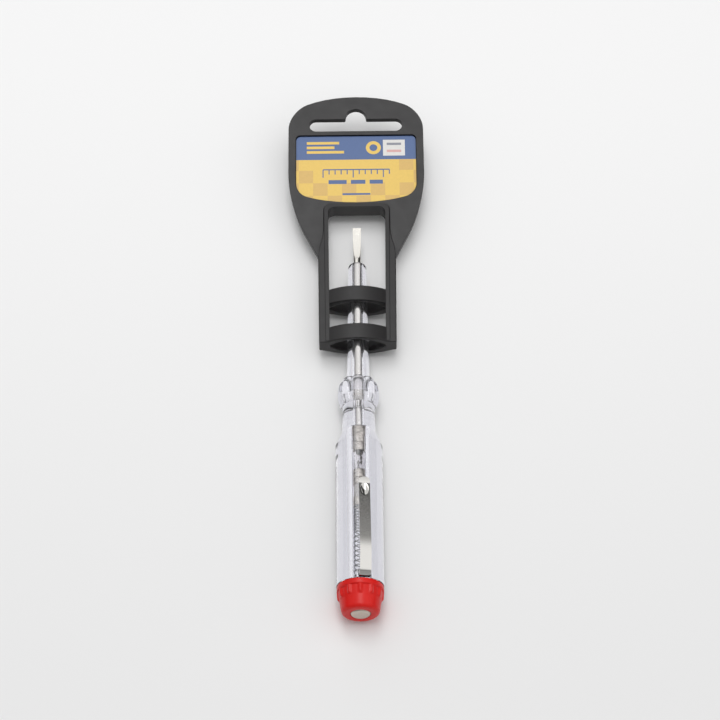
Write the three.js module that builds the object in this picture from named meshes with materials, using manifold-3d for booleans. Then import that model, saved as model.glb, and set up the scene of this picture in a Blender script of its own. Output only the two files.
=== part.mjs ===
// A mains tester screwdriver with a clear handle, held by its shank in a moulded hanger.
// Lengths are in millimetres. The tool's axis runs along Y: the touch contact's face is at y = 0 of
// the tool's own frame and the blade points along +Y. An angle about the axis starts at +Z and turns
// towards +X. The exported group stands on z = 0, with its origin under the middle of the whole part.
import * as THREE from "three";
import { mergeVertices } from "three/addons/utils/BufferGeometryUtils.js";
import Module from "manifold-3d";

const wasm = await Module();
wasm.setup();

// Clearances that every fit shares
const runningGap = 0.1; // radial, between a round piece and its bore
const seatGap = 0.05; // along the axis, between faces that meet
const turnedGap = 0.15; // around a piece that lies in a sloping recess
const overrun = 1; // how far a cut runs past the surface it opens

// Touch contact and its washer
const contactHeadRadius = 2.95;
const contactHeadThickness = 0.55;
const contactHeadProud = 0.3;
const contactHeadRound = 0.3;
const contactStemRadius = 1.2;
const contactTailRadius = 1.6;
const contactTailThickness = 0.6;
const washerThickness = 0.4;
const washerRim = 0.65;

// End cap
const capLength = 8.7;
const capNoseLength = 4;
const capNoseEndRadius = 5.6;
const capNoseRadius = 6.2;
const capNoseRound = 1;
const capSkirtLowRadius = 6.4;
const capSkirtHighRadius = 6.72;
const capRibHeight = 0.3;
const capRibs = 12;
const capRimRadius = 7.05;
const capRimLength = 1.6;
const capRimSlope = 0.3;
const capEdge = 0.15;
const capEndWall = 2.2;

// Handle
const bodyLength = 48;
const handleRadius = 7.25;
const handleFlatDistance = 6.7;
const handleFlats = 6;
const rearRingRadius = 7.12;
const rearRingLength = 4.3;
const rearRingRunOut = 1.2;
const rearEdge = 0.2;
const shoulderLength = 5;
const neckLength = 9.2;
const neckRadius = 5.15;
const neckStep = 0.15;
const neckStepFromShoulder = 4.3;
const collarLength = 9.3;
const collarRadius = 6.5;
const collarLobes = 8;
const collarLobeDepth = 0.85;
const tailRadius = 4.6;
const tailLength = 5.8;
const tailChamfer = 0.4;
const boreRadius = 2.05;
const boreIntoNeck = 1;

// Shank, blade and sleeve
const shankRadius = 1.2;
const shankTailRadius = 1;
const tailIntoContact = 3.2;
const sleeveSocketDepth = 5.2;
const sleeveLength = 45.7;
const sleeveRearRadius = 3.6;
const sleeveFrontRadius = 2.95;
const sleeveRound = 1.5;
const bladeReach = 13.75;
const bladeTaperLength = 11.3;
const bladeHalfWidth = 1.4;
const bladeHalfThickness = 0.27;

// Pieces in the handle's bore, from the shank back to the touch contact
const frontContactLength = 5.85;
const pieceChamfer = 0.2;
const lampLength = 12.3;
const lampCapLength = 2.8;
const lampCapWall = 0.15;
const lampCapFloor = 0.4;
const glassWall = 0.35;
const electrodeRadius = 0.22;
const electrodeSpread = 0.5;
const electrodeReach = 6.2;
const resistorLength = 9.6;
const resistorFrontCapLength = 2.3;
const resistorRearCapLength = 2.9;
const resistorCapWall = 0.2;
const resistorCapFloor = 0.5;

// Contact spring
const springWire = 0.45;
const springClosePitch = 0.95;
const springCloseCurls = 9;
const springOpenCurls = 14;
const stepsPerCurl = 8;
const wireSides = 5;

// Pocket clip
const clipAngle = THREE.MathUtils.degToRad(11.25);
const clipWidth = 3.4;
const clipThickness = 0.5;
const clipGap = 0.3;
const clipNotchDepth = 1.4;
const clipPocketWall = 0.4;
const clipFootLength = 1.4;
const clipBendRadius = 0.8;
const clipStandOff = 1;
const clipCrest = 0.35;
const clipLength = 32.3;
const clipLipLength = 3;
const clipLipRise = 0.8;
const clipEndRound = 1.3;
const dimpleDepth = 0.5;
const dimpleHalfWidth = 1.15;
const dimpleHalfLength = 2.1;

// Hanger: frame round the window, and its two loops
const hangerFromCollar = 13.65;
const frameDepth = 5;
const frameEdge = 0.35;
const railLength = 34.3;
const railNearHalf = 12.27;
const railFarHalf = 12.65;
const flareLength = 9.2;
const rimOuterHalf = 10.95;
const rimBand = 1.45;
const rimCorner = 2.4;
const windowReach = 52.9;
const windowNearHalf = 8.85;
const windowFarHalf = 9.4;
const windowCorner = 1;
const loopWidth = 5.6;
const loopPitch = 14.4;
const loopGap = 0.2;
const archThickness = 1.4;
const backArchHalf = 11.6;

// Hanger: head plate, Euro slot, label recess and card
const plateTilt = THREE.MathUtils.degToRad(7.5);
const plateThickness = 2;
const plateDrop = 0.2;
const plateReach = 42.3;
const plateHalf = 22.5;
const plateTopRadius = 44;
const plateCorner = 10;
const plateSideRadius = 50;
const plateSideStart = 13;
const plateFlare = THREE.MathUtils.degToRad(26.5);
const slotHalf = 15.5;
const slotHeight = 4.6;
const slotFromTop = 13.3;
const slotPeakHalf = 3.4;
const slotPeakHeight = 3.9;
const slotPeakFillet = 0.8;
const labelHalf = 20.05;
const labelFromTop = 14.8;
const labelSideLength = 18.6;
const labelDrop = 7;
const labelTopCorner = 1.5;
const labelBottomRadius = 60;
const labelBottomCorner = 5.5;
const recessDepth = 1.15;
const cardThickness = 0.3;

// Facet counts
const loftSides = 96;
const roundSides = 32;
const boreSides = 24;
const arcSteps = 10;

// Places along the tool's axis
const capEndY = contactHeadProud;
const capStepY = capEndY + capNoseLength;
const capRimY = capEndY + capLength;
const capFloorY = capEndY + capEndWall;
const contactTailY = capFloorY + washerThickness + 2 * seatGap;
const handleRearY = capRimY + seatGap;
const shoulderY = handleRearY + bodyLength;
const neckRearY = shoulderY + shoulderLength;
const collarRearY = neckRearY + neckLength;
const collarFrontY = collarRearY + collarLength;
const socketFloorY = collarFrontY - sleeveSocketDepth;
const sleeveFrontY = collarFrontY + sleeveLength;
const bladeTipY = sleeveFrontY + bladeReach;
const boreFrontY = neckRearY + boreIntoNeck;
const frontContactY = boreFrontY - seatGap;
const lampFrontY = frontContactY - frontContactLength - seatGap;
const lampRearY = lampFrontY - lampLength;
const resistorFrontY = lampRearY - seatGap;
const resistorRearY = resistorFrontY - resistorLength;
const springFrontY = resistorRearY - seatGap;
const springRearY = contactTailY + contactTailThickness + seatGap;
const pieceRadius = boreRadius - runningGap;
const fullTurn = 2 * Math.PI;

// Solids and geometries

function solidOf(geometry) {
  geometry.deleteAttribute("normal");
  geometry.deleteAttribute("uv");
  const merged = mergeVertices(geometry, 1e-4);
  return new wasm.Manifold(
    new wasm.Mesh({
      numProp: 3,
      vertProperties: merged.attributes.position.array,
      triVerts: new Uint32Array(merged.index.array),
    }),
  );
}

function geometryOf(solid) {
  const mesh = solid.getMesh();
  const geometry = new THREE.BufferGeometry();
  geometry.setAttribute("position", new THREE.BufferAttribute(mesh.vertProperties, 3));
  geometry.setIndex(new THREE.BufferAttribute(mesh.triVerts, 1));
  geometry.computeVertexNormals();
  return geometry;
}

function cut(geometry, ...tools) {
  return geometryOf(tools.reduce((rest, tool) => rest.subtract(solidOf(tool)), solidOf(geometry)));
}

function join(geometry, ...others) {
  return geometryOf(others.reduce((whole, other) => whole.add(solidOf(other)), solidOf(geometry)));
}

// A closed surface from a list of vertices and faces.
function surface(positions, faces) {
  const geometry = new THREE.BufferGeometry();
  geometry.setAttribute("position", new THREE.Float32BufferAttribute(positions, 3));
  geometry.setIndex(faces);
  geometry.computeVertexNormals();
  return geometry;
}

// A body of revolution about Y through [radius, y] points, from the axis back to the axis.
function revolve(profile, sides = roundSides) {
  const points = profile.map(([radius, y]) => new THREE.Vector2(radius, y));
  return new THREE.LatheGeometry(points, sides);
}

// A closed loft about Y. A station is [y, radiusAt], and radiusAt gives the radius at an angle.
function ringLoft(stations, sides = loftSides) {
  const positions = [];
  const faces = [];
  for (const [y, radiusAt] of stations)
    for (let side = 0; side < sides; side++) {
      const angle = (fullTurn * side) / sides;
      const radius = radiusAt(angle);
      positions.push(radius * Math.sin(angle), y, radius * Math.cos(angle));
    }
  const startPole = stations.length * sides;
  const endPole = startPole + 1;
  positions.push(0, stations[0][0], 0, 0, stations.at(-1)[0], 0);
  for (let side = 0; side < sides; side++) {
    const next = (side + 1) % sides;
    faces.push(startPole, next, side);
    for (let ring = 0; ring + 1 < stations.length; ring++) {
      const low = ring * sides;
      const high = low + sides;
      faces.push(low + side, low + next, high + next);
      faces.push(low + side, high + next, high + side);
    }
    const last = (stations.length - 1) * sides;
    faces.push(endPole, last + side, last + next);
  }
  return surface(positions, faces);
}

const round = (radius) => () => radius;

// A shape in the XZ plane as a bar along Y.
function barAlongY(shape, y, length) {
  const bar = new THREE.ExtrudeGeometry(shape, {
    depth: length,
    bevelEnabled: false,
    curveSegments: arcSteps,
  });
  return bar.rotateX(Math.PI / 2).translate(0, y + length, 0);
}

// A shape in the XY plane as a slab from z = low to z = high.
function slab(shape, low, high) {
  const plate = new THREE.ExtrudeGeometry(shape, {
    depth: high - low,
    bevelEnabled: false,
    curveSegments: arcSteps,
  });
  return plate.translate(0, 0, low);
}

function box(xLow, xHigh, yLow, yHigh, zLow, zHigh) {
  const block = new THREE.BoxGeometry(xHigh - xLow, yHigh - yLow, zHigh - zLow);
  return block.translate((xLow + xHigh) / 2, (yLow + yHigh) / 2, (zLow + zHigh) / 2);
}

// Materials
const finishes = {
  clear: { color: 0xdcdce4, roughness: 0.08, metalness: 0, transparent: true, opacity: 0.35 },
  glass: { color: 0xe6e8ea, roughness: 0.03, metalness: 0, transparent: true, opacity: 0.3 },
  red: { color: 0xc8281f, roughness: 0.35, metalness: 0 },
  black: { color: 0x353334, roughness: 0.5, metalness: 0 },
  card: { color: 0xe8c673, roughness: 0.45, metalness: 0 },
  steel: { color: 0xc9c6c0, roughness: 0.22, metalness: 1 },
  contact: { color: 0xb5ada5, roughness: 0.4, metalness: 1 },
  nickel: { color: 0xb9b9b6, roughness: 0.2, metalness: 1 },
  electrode: { color: 0x77706a, roughness: 0.5, metalness: 1 },
  ceramic: { color: 0xd5d3cf, roughness: 0.6, metalness: 0 },
};

function piece(name, geometry, finish) {
  const mesh = new THREE.Mesh(geometry, new THREE.MeshStandardMaterial(finishes[finish]));
  mesh.name = name;
  return mesh;
}

// Shank: a round rod, thinner where the handle holds it, with a forged and ground blade.

// The section's edge lies on a circle, cut by the blade's two flats.
function bladeRadius(angle, radius, halfThickness) {
  const height = Math.abs(Math.cos(angle));
  return height * radius > halfThickness ? halfThickness / height : radius;
}

function bladeShank() {
  const rearY = frontContactY - tailIntoContact;
  const bladeRearY = bladeTipY - bladeTaperLength;
  const taperShares = [0, 0.18, 0.4, 0.65, 1];
  const stations = [
    [rearY, round(shankTailRadius - pieceChamfer)],
    [rearY + pieceChamfer, round(shankTailRadius)],
    [socketFloorY, round(shankTailRadius)],
    [socketFloorY, round(shankRadius)],
  ];
  for (const share of taperShares) {
    const y = bladeRearY + share * bladeTaperLength;
    const radius = THREE.MathUtils.lerp(shankRadius, bladeHalfWidth, share);
    const easedShare = Math.sin((share * Math.PI) / 2);
    const halfThickness = THREE.MathUtils.lerp(shankRadius, bladeHalfThickness, easedShare);
    stations.push([y, (angle) => bladeRadius(angle, radius, halfThickness)]);
  }
  return piece("blade_shank", ringLoft(stations, roundSides), "steel");
}

// Sleeve: a tapered insulating tube, seated in the handle's socket and round at its far end.

function sleeveRadiusAt(y) {
  const share = (y - collarFrontY) / sleeveLength;
  return THREE.MathUtils.lerp(sleeveRearRadius, sleeveFrontRadius, share);
}

function shankSleeve() {
  const boreInside = shankRadius + runningGap;
  const rearY = socketFloorY + seatGap;
  const roundStartY = sleeveFrontY - sleeveRound;
  const roundStart = sleeveRadiusAt(roundStartY);
  const profile = [
    [boreInside, rearY],
    [sleeveRearRadius, rearY],
    [sleeveRearRadius, collarFrontY],
    [roundStart, roundStartY],
  ];
  const roundSteps = 4;
  for (let step = 1; step <= roundSteps; step++) {
    const angle = (Math.PI / 2) * (step / roundSteps);
    const inward = sleeveRound * (1 - Math.cos(angle));
    profile.push([roundStart - inward, roundStartY + sleeveRound * Math.sin(angle)]);
  }
  profile.push([boreInside, sleeveFrontY], [boreInside, rearY]);
  return piece("shank_sleeve", revolve(profile), "clear");
}

// Handle: a clear moulding, turned about the axis, with flats on its body and lobes on its collar.

// The body's section is a circle of the given radius with flats, one of them under the clip.
function flattedRadius(angle, radius) {
  const sector = fullTurn / handleFlats;
  const turned = angle - clipAngle;
  const fromFlat = turned - sector * Math.round(turned / sector);
  return Math.min(radius, handleFlatDistance / Math.cos(fromFlat));
}

// The collar's section has convex lobes with narrow valleys between them.
function lobedRadius(angle, radius) {
  const swell = Math.abs(Math.cos((angle * collarLobes) / 2)) ** 0.7;
  return radius - collarLobeDepth * (1 - swell);
}

function handle() {
  const flatted = (radius) => (angle) => flattedRadius(angle, radius);
  const lobed = (radius) => (angle) => lobedRadius(angle, radius);
  const tailEndY = handleRearY - tailLength;
  const runOutY = handleRearY + rearRingLength;
  const stepY = neckRearY + neckStepFromShoulder;
  const frontNeck = neckRadius - neckStep;
  const coneSlope = (handleRadius - neckRadius) / shoulderLength;
  const flatsEndY = shoulderY + (handleRadius - handleFlatDistance) / coneSlope;
  const stations = [
    [tailEndY, round(tailRadius - tailChamfer)],
    [tailEndY + tailChamfer, round(tailRadius)],
    [handleRearY, round(tailRadius)],
    [handleRearY, round(rearRingRadius - rearEdge)],
    [handleRearY + rearEdge, round(rearRingRadius)],
    [runOutY, round(rearRingRadius)],
    [runOutY + rearRingRunOut, flatted(rearRingRadius)],
    [shoulderY, flatted(handleRadius)],
    [(shoulderY + flatsEndY) / 2, flatted((handleRadius + handleFlatDistance) / 2)],
    [flatsEndY, round(handleFlatDistance)],
    [neckRearY, round(neckRadius)],
    [stepY, round(neckRadius)],
    [stepY + neckStep, round(frontNeck)],
    [collarRearY, round(frontNeck)],
  ];
  const collarLengthShares = [0.03, 0.1, 0.24, 0.5, 0.76, 0.92, 1];
  const collarRadiusShares = [0.84, 0.93, 0.985, 1, 0.975, 0.9, 0.79];
  collarLengthShares.forEach((lengthShare, index) => {
    const y = collarRearY + lengthShare * collarLength;
    stations.push([y, lobed(collarRadius * collarRadiusShares[index])]);
  });

  const shankHole = shankTailRadius + runningGap;
  const socket = sleeveRearRadius + runningGap;
  const bore = revolve(
    [
      [0, tailEndY - overrun],
      [boreRadius, tailEndY - overrun],
      [boreRadius, boreFrontY],
      [shankHole, boreFrontY],
      [shankHole, socketFloorY],
      [socket, socketFloorY],
      [socket, collarFrontY + overrun],
      [0, collarFrontY + overrun],
    ],
    boreSides,
  );

  // A notch for the clip's leg, open to the rear and outwards, with a pocket for its foot.
  const notchHalf = clipWidth / 2 + clipGap;
  const notchFloor = tailRadius + clipPocketWall;
  const notchFrontY = handleRearY + clipNotchDepth;
  const pocketTop = notchFloor + clipThickness + 2 * clipGap;
  const pocketFrontY = clipLegY() + clipFootLength + clipGap;
  const notch = box(
    -notchHalf,
    notchHalf,
    handleRearY - overrun,
    notchFrontY,
    notchFloor,
    handleRadius + overrun,
  ).rotateY(clipAngle);
  const pocket = box(
    -notchHalf,
    notchHalf,
    handleRearY + clipGap,
    pocketFrontY,
    notchFloor,
    pocketTop,
  ).rotateY(clipAngle);
  return piece("handle", cut(ringLoft(stations), bore, notch, pocket), "clear");
}

// Pieces in the bore: turned contacts, the glow lamp and the series resistor.

// A metal cup with its closed end at y = 0 and its mouth at y = length.
function endCup(length, wall, floor) {
  return revolve(
    [
      [0, 0],
      [pieceRadius - pieceChamfer, 0],
      [pieceRadius, pieceChamfer],
      [pieceRadius, length],
      [pieceRadius - wall, length],
      [pieceRadius - wall, floor],
      [0, floor],
    ],
    boreSides,
  );
}

function frontContact() {
  const hole = shankTailRadius + runningGap;
  const rearY = frontContactY - frontContactLength;
  const holeFloorY = frontContactY - tailIntoContact - seatGap;
  const geometry = revolve(
    [
      [0, rearY],
      [pieceRadius - pieceChamfer, rearY],
      [pieceRadius, rearY + pieceChamfer],
      [pieceRadius, frontContactY - pieceChamfer],
      [pieceRadius - pieceChamfer, frontContactY],
      [hole, frontContactY],
      [hole, holeFloorY],
      [0, holeFloorY],
    ],
    boreSides,
  );
  return piece("front_contact", geometry, "steel");
}

function glowLamp() {
  const glassRadius = pieceRadius - lampCapWall - seatGap;
  const glassFrontY = lampFrontY - lampCapFloor - seatGap;
  const glassRearY = lampRearY + lampCapFloor + seatGap;
  const glass = revolve(
    [
      [0, glassFrontY - glassWall],
      [glassRadius - glassWall, glassFrontY - glassWall],
      [glassRadius - glassWall, glassRearY],
      [glassRadius, glassRearY],
      [glassRadius, glassFrontY],
      [0, glassFrontY],
    ],
    boreSides,
  );
  const frontCap = piece("lamp_front_cap", endCup(lampCapLength, lampCapWall, lampCapFloor), "steel");
  frontCap.rotation.x = Math.PI;
  frontCap.position.y = lampFrontY;
  const rearCap = piece("lamp_rear_cap", endCup(lampCapLength, lampCapWall, lampCapFloor), "steel");
  rearCap.position.y = lampRearY;

  const electrode = () => new THREE.CylinderGeometry(electrodeRadius, electrodeRadius, electrodeReach, 8);
  const front = piece("lamp_electrode_front", electrode(), "electrode");
  front.position.set(electrodeSpread, glassFrontY - glassWall - seatGap - electrodeReach / 2, 0);
  const rear = piece("lamp_electrode_rear", electrode(), "electrode");
  rear.position.set(-electrodeSpread, glassRearY + electrodeReach / 2, 0);
  return [frontCap, piece("lamp_glass", glass, "glass"), front, rear, rearCap];
}

function seriesResistor() {
  const bodyRadius = pieceRadius - resistorCapWall - seatGap;
  const bodyFrontY = resistorFrontY - resistorCapFloor - seatGap;
  const bodyRearY = resistorRearY + resistorCapFloor + seatGap;
  const body = new THREE.CylinderGeometry(bodyRadius, bodyRadius, bodyFrontY - bodyRearY, boreSides);
  body.translate(0, (bodyFrontY + bodyRearY) / 2, 0);
  const frontCup = endCup(resistorFrontCapLength, resistorCapWall, resistorCapFloor);
  const frontCap = piece("resistor_front_cap", frontCup, "steel");
  frontCap.rotation.x = Math.PI;
  frontCap.position.y = resistorFrontY;
  const rearCup = endCup(resistorRearCapLength, resistorCapWall, resistorCapFloor);
  const rearCap = piece("resistor_rear_cap", rearCup, "steel");
  rearCap.position.y = resistorRearY;
  return [frontCap, piece("resistor_body", body, "ceramic"), rearCap];
}

// Contact spring: one wire, close at the resistor and open towards the touch contact, with both
// ends turned straight along the axis.

function springRoute() {
  const coilRadius = pieceRadius - springWire / 2;
  const coilRearY = springRearY + springWire;
  const coilFrontY = springFrontY - springWire;
  const closeLength = springCloseCurls * springClosePitch;
  const openPitch = (coilFrontY - closeLength - coilRearY) / springOpenCurls;
  const curls = springOpenCurls + springCloseCurls;
  const route = [];
  for (let step = 0; step <= curls * stepsPerCurl; step++) {
    const turns = step / stepsPerCurl;
    const open = Math.min(turns, springOpenCurls) * openPitch;
    const close = Math.max(turns - springOpenCurls, 0) * springClosePitch;
    const angle = turns * fullTurn;
    route.push({ angle, y: coilRearY + open + close });
  }
  route.unshift({ angle: 0, y: springRearY });
  route.push({ angle: curls * fullTurn, y: springFrontY });
  for (const stop of route)
    stop.place = new THREE.Vector3(
      coilRadius * Math.sin(stop.angle),
      stop.y,
      coilRadius * Math.cos(stop.angle),
    );
  return route;
}

// The least gap between two curls, measured between points more than half a curl apart.
function leastGap(route) {
  let least = Infinity;
  route.forEach((stop, index) => {
    for (let other = index + stepsPerCurl / 2; other < route.length; other++)
      least = Math.min(least, stop.place.distanceTo(route[other].place));
  });
  return least - springWire;
}

function contactSpring() {
  const route = springRoute();
  const positions = [];
  const faces = [];
  route.forEach((stop, index) => {
    const before = route[Math.max(index - 1, 0)].place;
    const after = route[Math.min(index + 1, route.length - 1)].place;
    const along = after.clone().sub(before).normalize();
    const outward = new THREE.Vector3(Math.sin(stop.angle), 0, Math.cos(stop.angle));
    const across = new THREE.Vector3().crossVectors(along, outward).normalize();
    const out = new THREE.Vector3().crossVectors(across, along);
    for (let side = 0; side < wireSides; side++) {
      const angle = (fullTurn * side) / wireSides;
      const point = stop.place
        .clone()
        .addScaledVector(out, (Math.cos(angle) * springWire) / 2)
        .addScaledVector(across, (Math.sin(angle) * springWire) / 2);
      positions.push(point.x, point.y, point.z);
    }
  });
  const last = (route.length - 1) * wireSides;
  for (let ring = 0; ring + 1 < route.length; ring++)
    for (let side = 0; side < wireSides; side++) {
      const next = (side + 1) % wireSides;
      const low = ring * wireSides;
      const high = low + wireSides;
      faces.push(low + side, low + next, high + next);
      faces.push(low + side, high + next, high + side);
    }
  for (let side = 1; side + 1 < wireSides; side++) {
    faces.push(0, side + 1, side);
    faces.push(last, last + side, last + side + 1);
  }
  console.log("contact_spring least gap to itself", leastGap(route).toFixed(3), "mm");
  return piece("contact_spring", surface(positions, faces), "steel");
}

// Touch contact, its washer, and the screw cap that carries them.

function contactRivet() {
  const tailEndY = contactTailY + contactTailThickness;
  const geometry = revolve(
    [
      [0, 0],
      [contactHeadRadius - 2 * contactHeadRound, 0],
      [contactHeadRadius - contactHeadRound / 2, contactHeadRound / 3],
      [contactHeadRadius, contactHeadRound],
      [contactHeadRadius, contactHeadThickness],
      [contactStemRadius, contactHeadThickness],
      [contactStemRadius, contactTailY],
      [contactTailRadius, contactTailY],
      [contactTailRadius, tailEndY],
      [0, tailEndY],
    ],
    roundSides,
  );
  return piece("contact_rivet", geometry, "contact");
}

function rivetWasher() {
  const hole = contactStemRadius + runningGap;
  const rearY = capFloorY + seatGap;
  const frontY = rearY + washerThickness;
  const geometry = revolve(
    [
      [hole, rearY],
      [hole + washerRim, rearY],
      [hole + washerRim, frontY],
      [hole, frontY],
      [hole, rearY],
    ],
    boreSides,
  );
  return piece("rivet_washer", geometry, "steel");
}

// A narrow rib stands at each twelfth of the turn.
function ribbedRadius(angle, radius) {
  const sector = fullTurn / capRibs;
  const fromRib = Math.abs(angle - sector * Math.round(angle / sector));
  const ribHalfAngle = sector / 4;
  return radius + capRibHeight * Math.max(0, 1 - fromRib / ribHalfAngle);
}

function endCap() {
  const ribbed = (radius) => (angle) => ribbedRadius(angle, radius);
  const stations = [];
  const roundSteps = 4;
  for (let step = 0; step <= roundSteps; step++) {
    const angle = (Math.PI / 2) * (step / roundSteps);
    const radius = capNoseEndRadius - capNoseRound * (1 - Math.sin(angle));
    stations.push([capEndY + capNoseRound * (1 - Math.cos(angle)), round(radius)]);
  }
  stations.push(
    [capStepY, round(capNoseRadius)],
    [capStepY, ribbed(capSkirtLowRadius)],
    [capRimY - capRimLength - capRimSlope, ribbed(capSkirtHighRadius)],
    [capRimY - capRimLength, round(capRimRadius)],
    [capRimY - capEdge, round(capRimRadius)],
    [capRimY, round(capRimRadius - capEdge)],
  );
  const cavityRadius = tailRadius + runningGap;
  const stemHole = contactStemRadius + runningGap;
  const headHole = contactHeadRadius + runningGap;
  const headFloorY = contactHeadThickness + seatGap;
  const hollow = revolve([
    [0, capEndY - overrun],
    [headHole, capEndY - overrun],
    [headHole, headFloorY],
    [stemHole, headFloorY],
    [stemHole, capFloorY],
    [cavityRadius, capFloorY],
    [cavityRadius, capRimY + overrun],
    [0, capRimY + overrun],
  ]);
  return piece("end_cap", cut(ringLoft(stations), hollow), "red");
}

// Pocket clip: one strip of spring steel. Its foot hooks into the handle's pocket, its leg rises
// through the notch, and the strip runs forward to a pressed dimple and a turned-up lip.

function clipLegY() {
  return handleRearY + clipNotchDepth - clipGap - clipThickness / 2;
}

function clipHeights() {
  const foot = tailRadius + clipPocketWall + clipGap + clipThickness / 2;
  const bend = rearRingRadius + clipStandOff + clipThickness / 2;
  const dimple = handleFlatDistance + clipGap + dimpleDepth + clipThickness / 2;
  return { foot, bend, crest: bend + clipCrest, dimple };
}

// The outline of a strip of even thickness along a path, both in the same plane.
function stripShape(path, thickness) {
  const points = path.getPoints(6);
  const sides = [[], []];
  points.forEach((point, index) => {
    const before = points[Math.max(index - 1, 0)];
    const after = points[Math.min(index + 1, points.length - 1)];
    const along = after.clone().sub(before).normalize();
    const offset = new THREE.Vector2(-along.y, along.x).multiplyScalar(thickness / 2);
    sides[0].push(point.clone().add(offset));
    sides[1].unshift(point.clone().sub(offset));
  });
  return new THREE.Shape([...sides[0], ...sides[1]]);
}

function pocketClip() {
  const legY = clipLegY();
  const height = clipHeights();
  const lipY = legY + clipLength;
  const dimpleY = lipY - clipLipLength - dimpleHalfLength / 2;
  const path = new THREE.Path();
  path.moveTo(legY + clipFootLength, height.foot);
  path.lineTo(legY + clipThickness, height.foot);
  path.quadraticCurveTo(legY, height.foot, legY, height.foot + clipThickness);
  path.lineTo(legY, height.bend - clipBendRadius);
  path.quadraticCurveTo(legY, height.bend, legY + clipBendRadius, height.bend);
  path.bezierCurveTo(
    THREE.MathUtils.lerp(legY, dimpleY, 0.25),
    height.crest,
    THREE.MathUtils.lerp(legY, dimpleY, 0.55),
    height.crest,
    dimpleY,
    height.dimple,
  );
  path.quadraticCurveTo(
    lipY - clipLipLength / 2,
    height.dimple - clipThickness / 2,
    lipY,
    height.dimple + clipLipRise,
  );
  const toolAxes = new THREE.Matrix4().makeBasis(
    new THREE.Vector3(0, 1, 0),
    new THREE.Vector3(0, 0, 1),
    new THREE.Vector3(1, 0, 0),
  );
  const strip = new THREE.ExtrudeGeometry(stripShape(path, clipThickness), {
    depth: clipWidth,
    bevelEnabled: false,
  });
  strip.translate(0, 0, -clipWidth / 2).applyMatrix4(toolAxes);

  // The strip's plan has a round far end.
  const plan = new THREE.Shape();
  const half = clipWidth / 2;
  const planFarY = lipY + clipThickness / 4;
  plan.moveTo(-half - overrun, 0);
  plan.lineTo(half + overrun, 0);
  plan.lineTo(half + overrun, planFarY - clipEndRound - overrun);
  plan.lineTo(half, planFarY - clipEndRound);
  plan.absarc(half - clipEndRound, planFarY - clipEndRound, clipEndRound, 0, Math.PI / 2);
  plan.absarc(clipEndRound - half, planFarY - clipEndRound, clipEndRound, Math.PI / 2, Math.PI);
  plan.lineTo(-half - overrun, planFarY - clipEndRound - overrun);
  const trimmed = solidOf(strip).intersect(solidOf(slab(plan, 0, height.crest + 2 * clipBendRadius)));

  // The dimple stands out below the strip and is hollow above.
  const swell = (grow) => {
    const ball = new THREE.SphereGeometry(1, 16, 12);
    ball.scale(dimpleHalfWidth + grow, dimpleHalfLength + grow, dimpleDepth);
    return ball;
  };
  const under = swell(0).translate(0, dimpleY, height.dimple - clipThickness / 2);
  const over = swell(-clipThickness / 3).translate(0, dimpleY, height.dimple + clipThickness / 2);
  const geometry = geometryOf(trimmed.add(solidOf(under)).subtract(solidOf(over)));
  const clip = piece("pocket_clip", geometry, "nickel");
  clip.rotation.y = clipAngle;
  return clip;
}

// Hanger: a frame round the window with two loops for the shank, and a sloping head plate.

const hangerNearY = collarFrontY + hangerFromCollar;
const windowFarY = hangerNearY + windowReach;
const frameFarY = windowFarY + rimBand;
const archInner = sleeveRadiusAt(hangerNearY) + loopGap;
const archOuter = archInner + archThickness;

// The frame's outline: tapered rails that draw in to a narrow rim round the window's far end.
function frameOutline(inset) {
  const railFarY = hangerNearY + railLength;
  const rimY = railFarY + flareLength;
  const near = railNearHalf - inset;
  const far = railFarHalf - inset;
  const rim = rimOuterHalf - inset;
  const corner = rimCorner - inset;
  const nearY = hangerNearY + inset;
  const farY = frameFarY - inset;
  const outline = new THREE.Shape();
  outline.moveTo(-near, nearY);
  outline.lineTo(near, nearY);
  outline.lineTo(far, railFarY);
  outline.bezierCurveTo(far, railFarY + flareLength / 3, rim, rimY - flareLength / 3, rim, rimY);
  outline.lineTo(rim, farY - corner);
  outline.absarc(rim - corner, farY - corner, corner, 0, Math.PI / 2);
  outline.lineTo(corner - rim, farY);
  outline.absarc(corner - rim, farY - corner, corner, Math.PI / 2, Math.PI);
  outline.lineTo(-rim, rimY);
  outline.bezierCurveTo(-rim, rimY - flareLength / 3, -far, railFarY + flareLength / 3, -far, railFarY);
  return outline;
}

function frameBlock() {
  const block = new THREE.ExtrudeGeometry(frameOutline(frameEdge), {
    depth: frameDepth - 2 * frameEdge,
    bevelSize: frameEdge,
    bevelThickness: frameEdge,
    bevelSegments: 2,
    curveSegments: arcSteps / 2,
  });
  return block.translate(0, 0, frameEdge - frameDepth / 2);
}

function windowCutter() {
  const taper = (windowFarHalf - windowNearHalf) / windowReach;
  const startHalf = windowNearHalf - taper * overrun;
  const corner = windowCorner;
  const outline = new THREE.Shape();
  outline.moveTo(-startHalf, hangerNearY - overrun);
  outline.lineTo(startHalf, hangerNearY - overrun);
  outline.lineTo(windowFarHalf, windowFarY - corner);
  outline.absarc(windowFarHalf - corner, windowFarY - corner, corner, 0, Math.PI / 2);
  outline.absarc(corner - windowFarHalf, windowFarY - corner, corner, Math.PI / 2, Math.PI);
  return slab(outline, -frameDepth - plateThickness, frameDepth + plateThickness);
}

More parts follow.
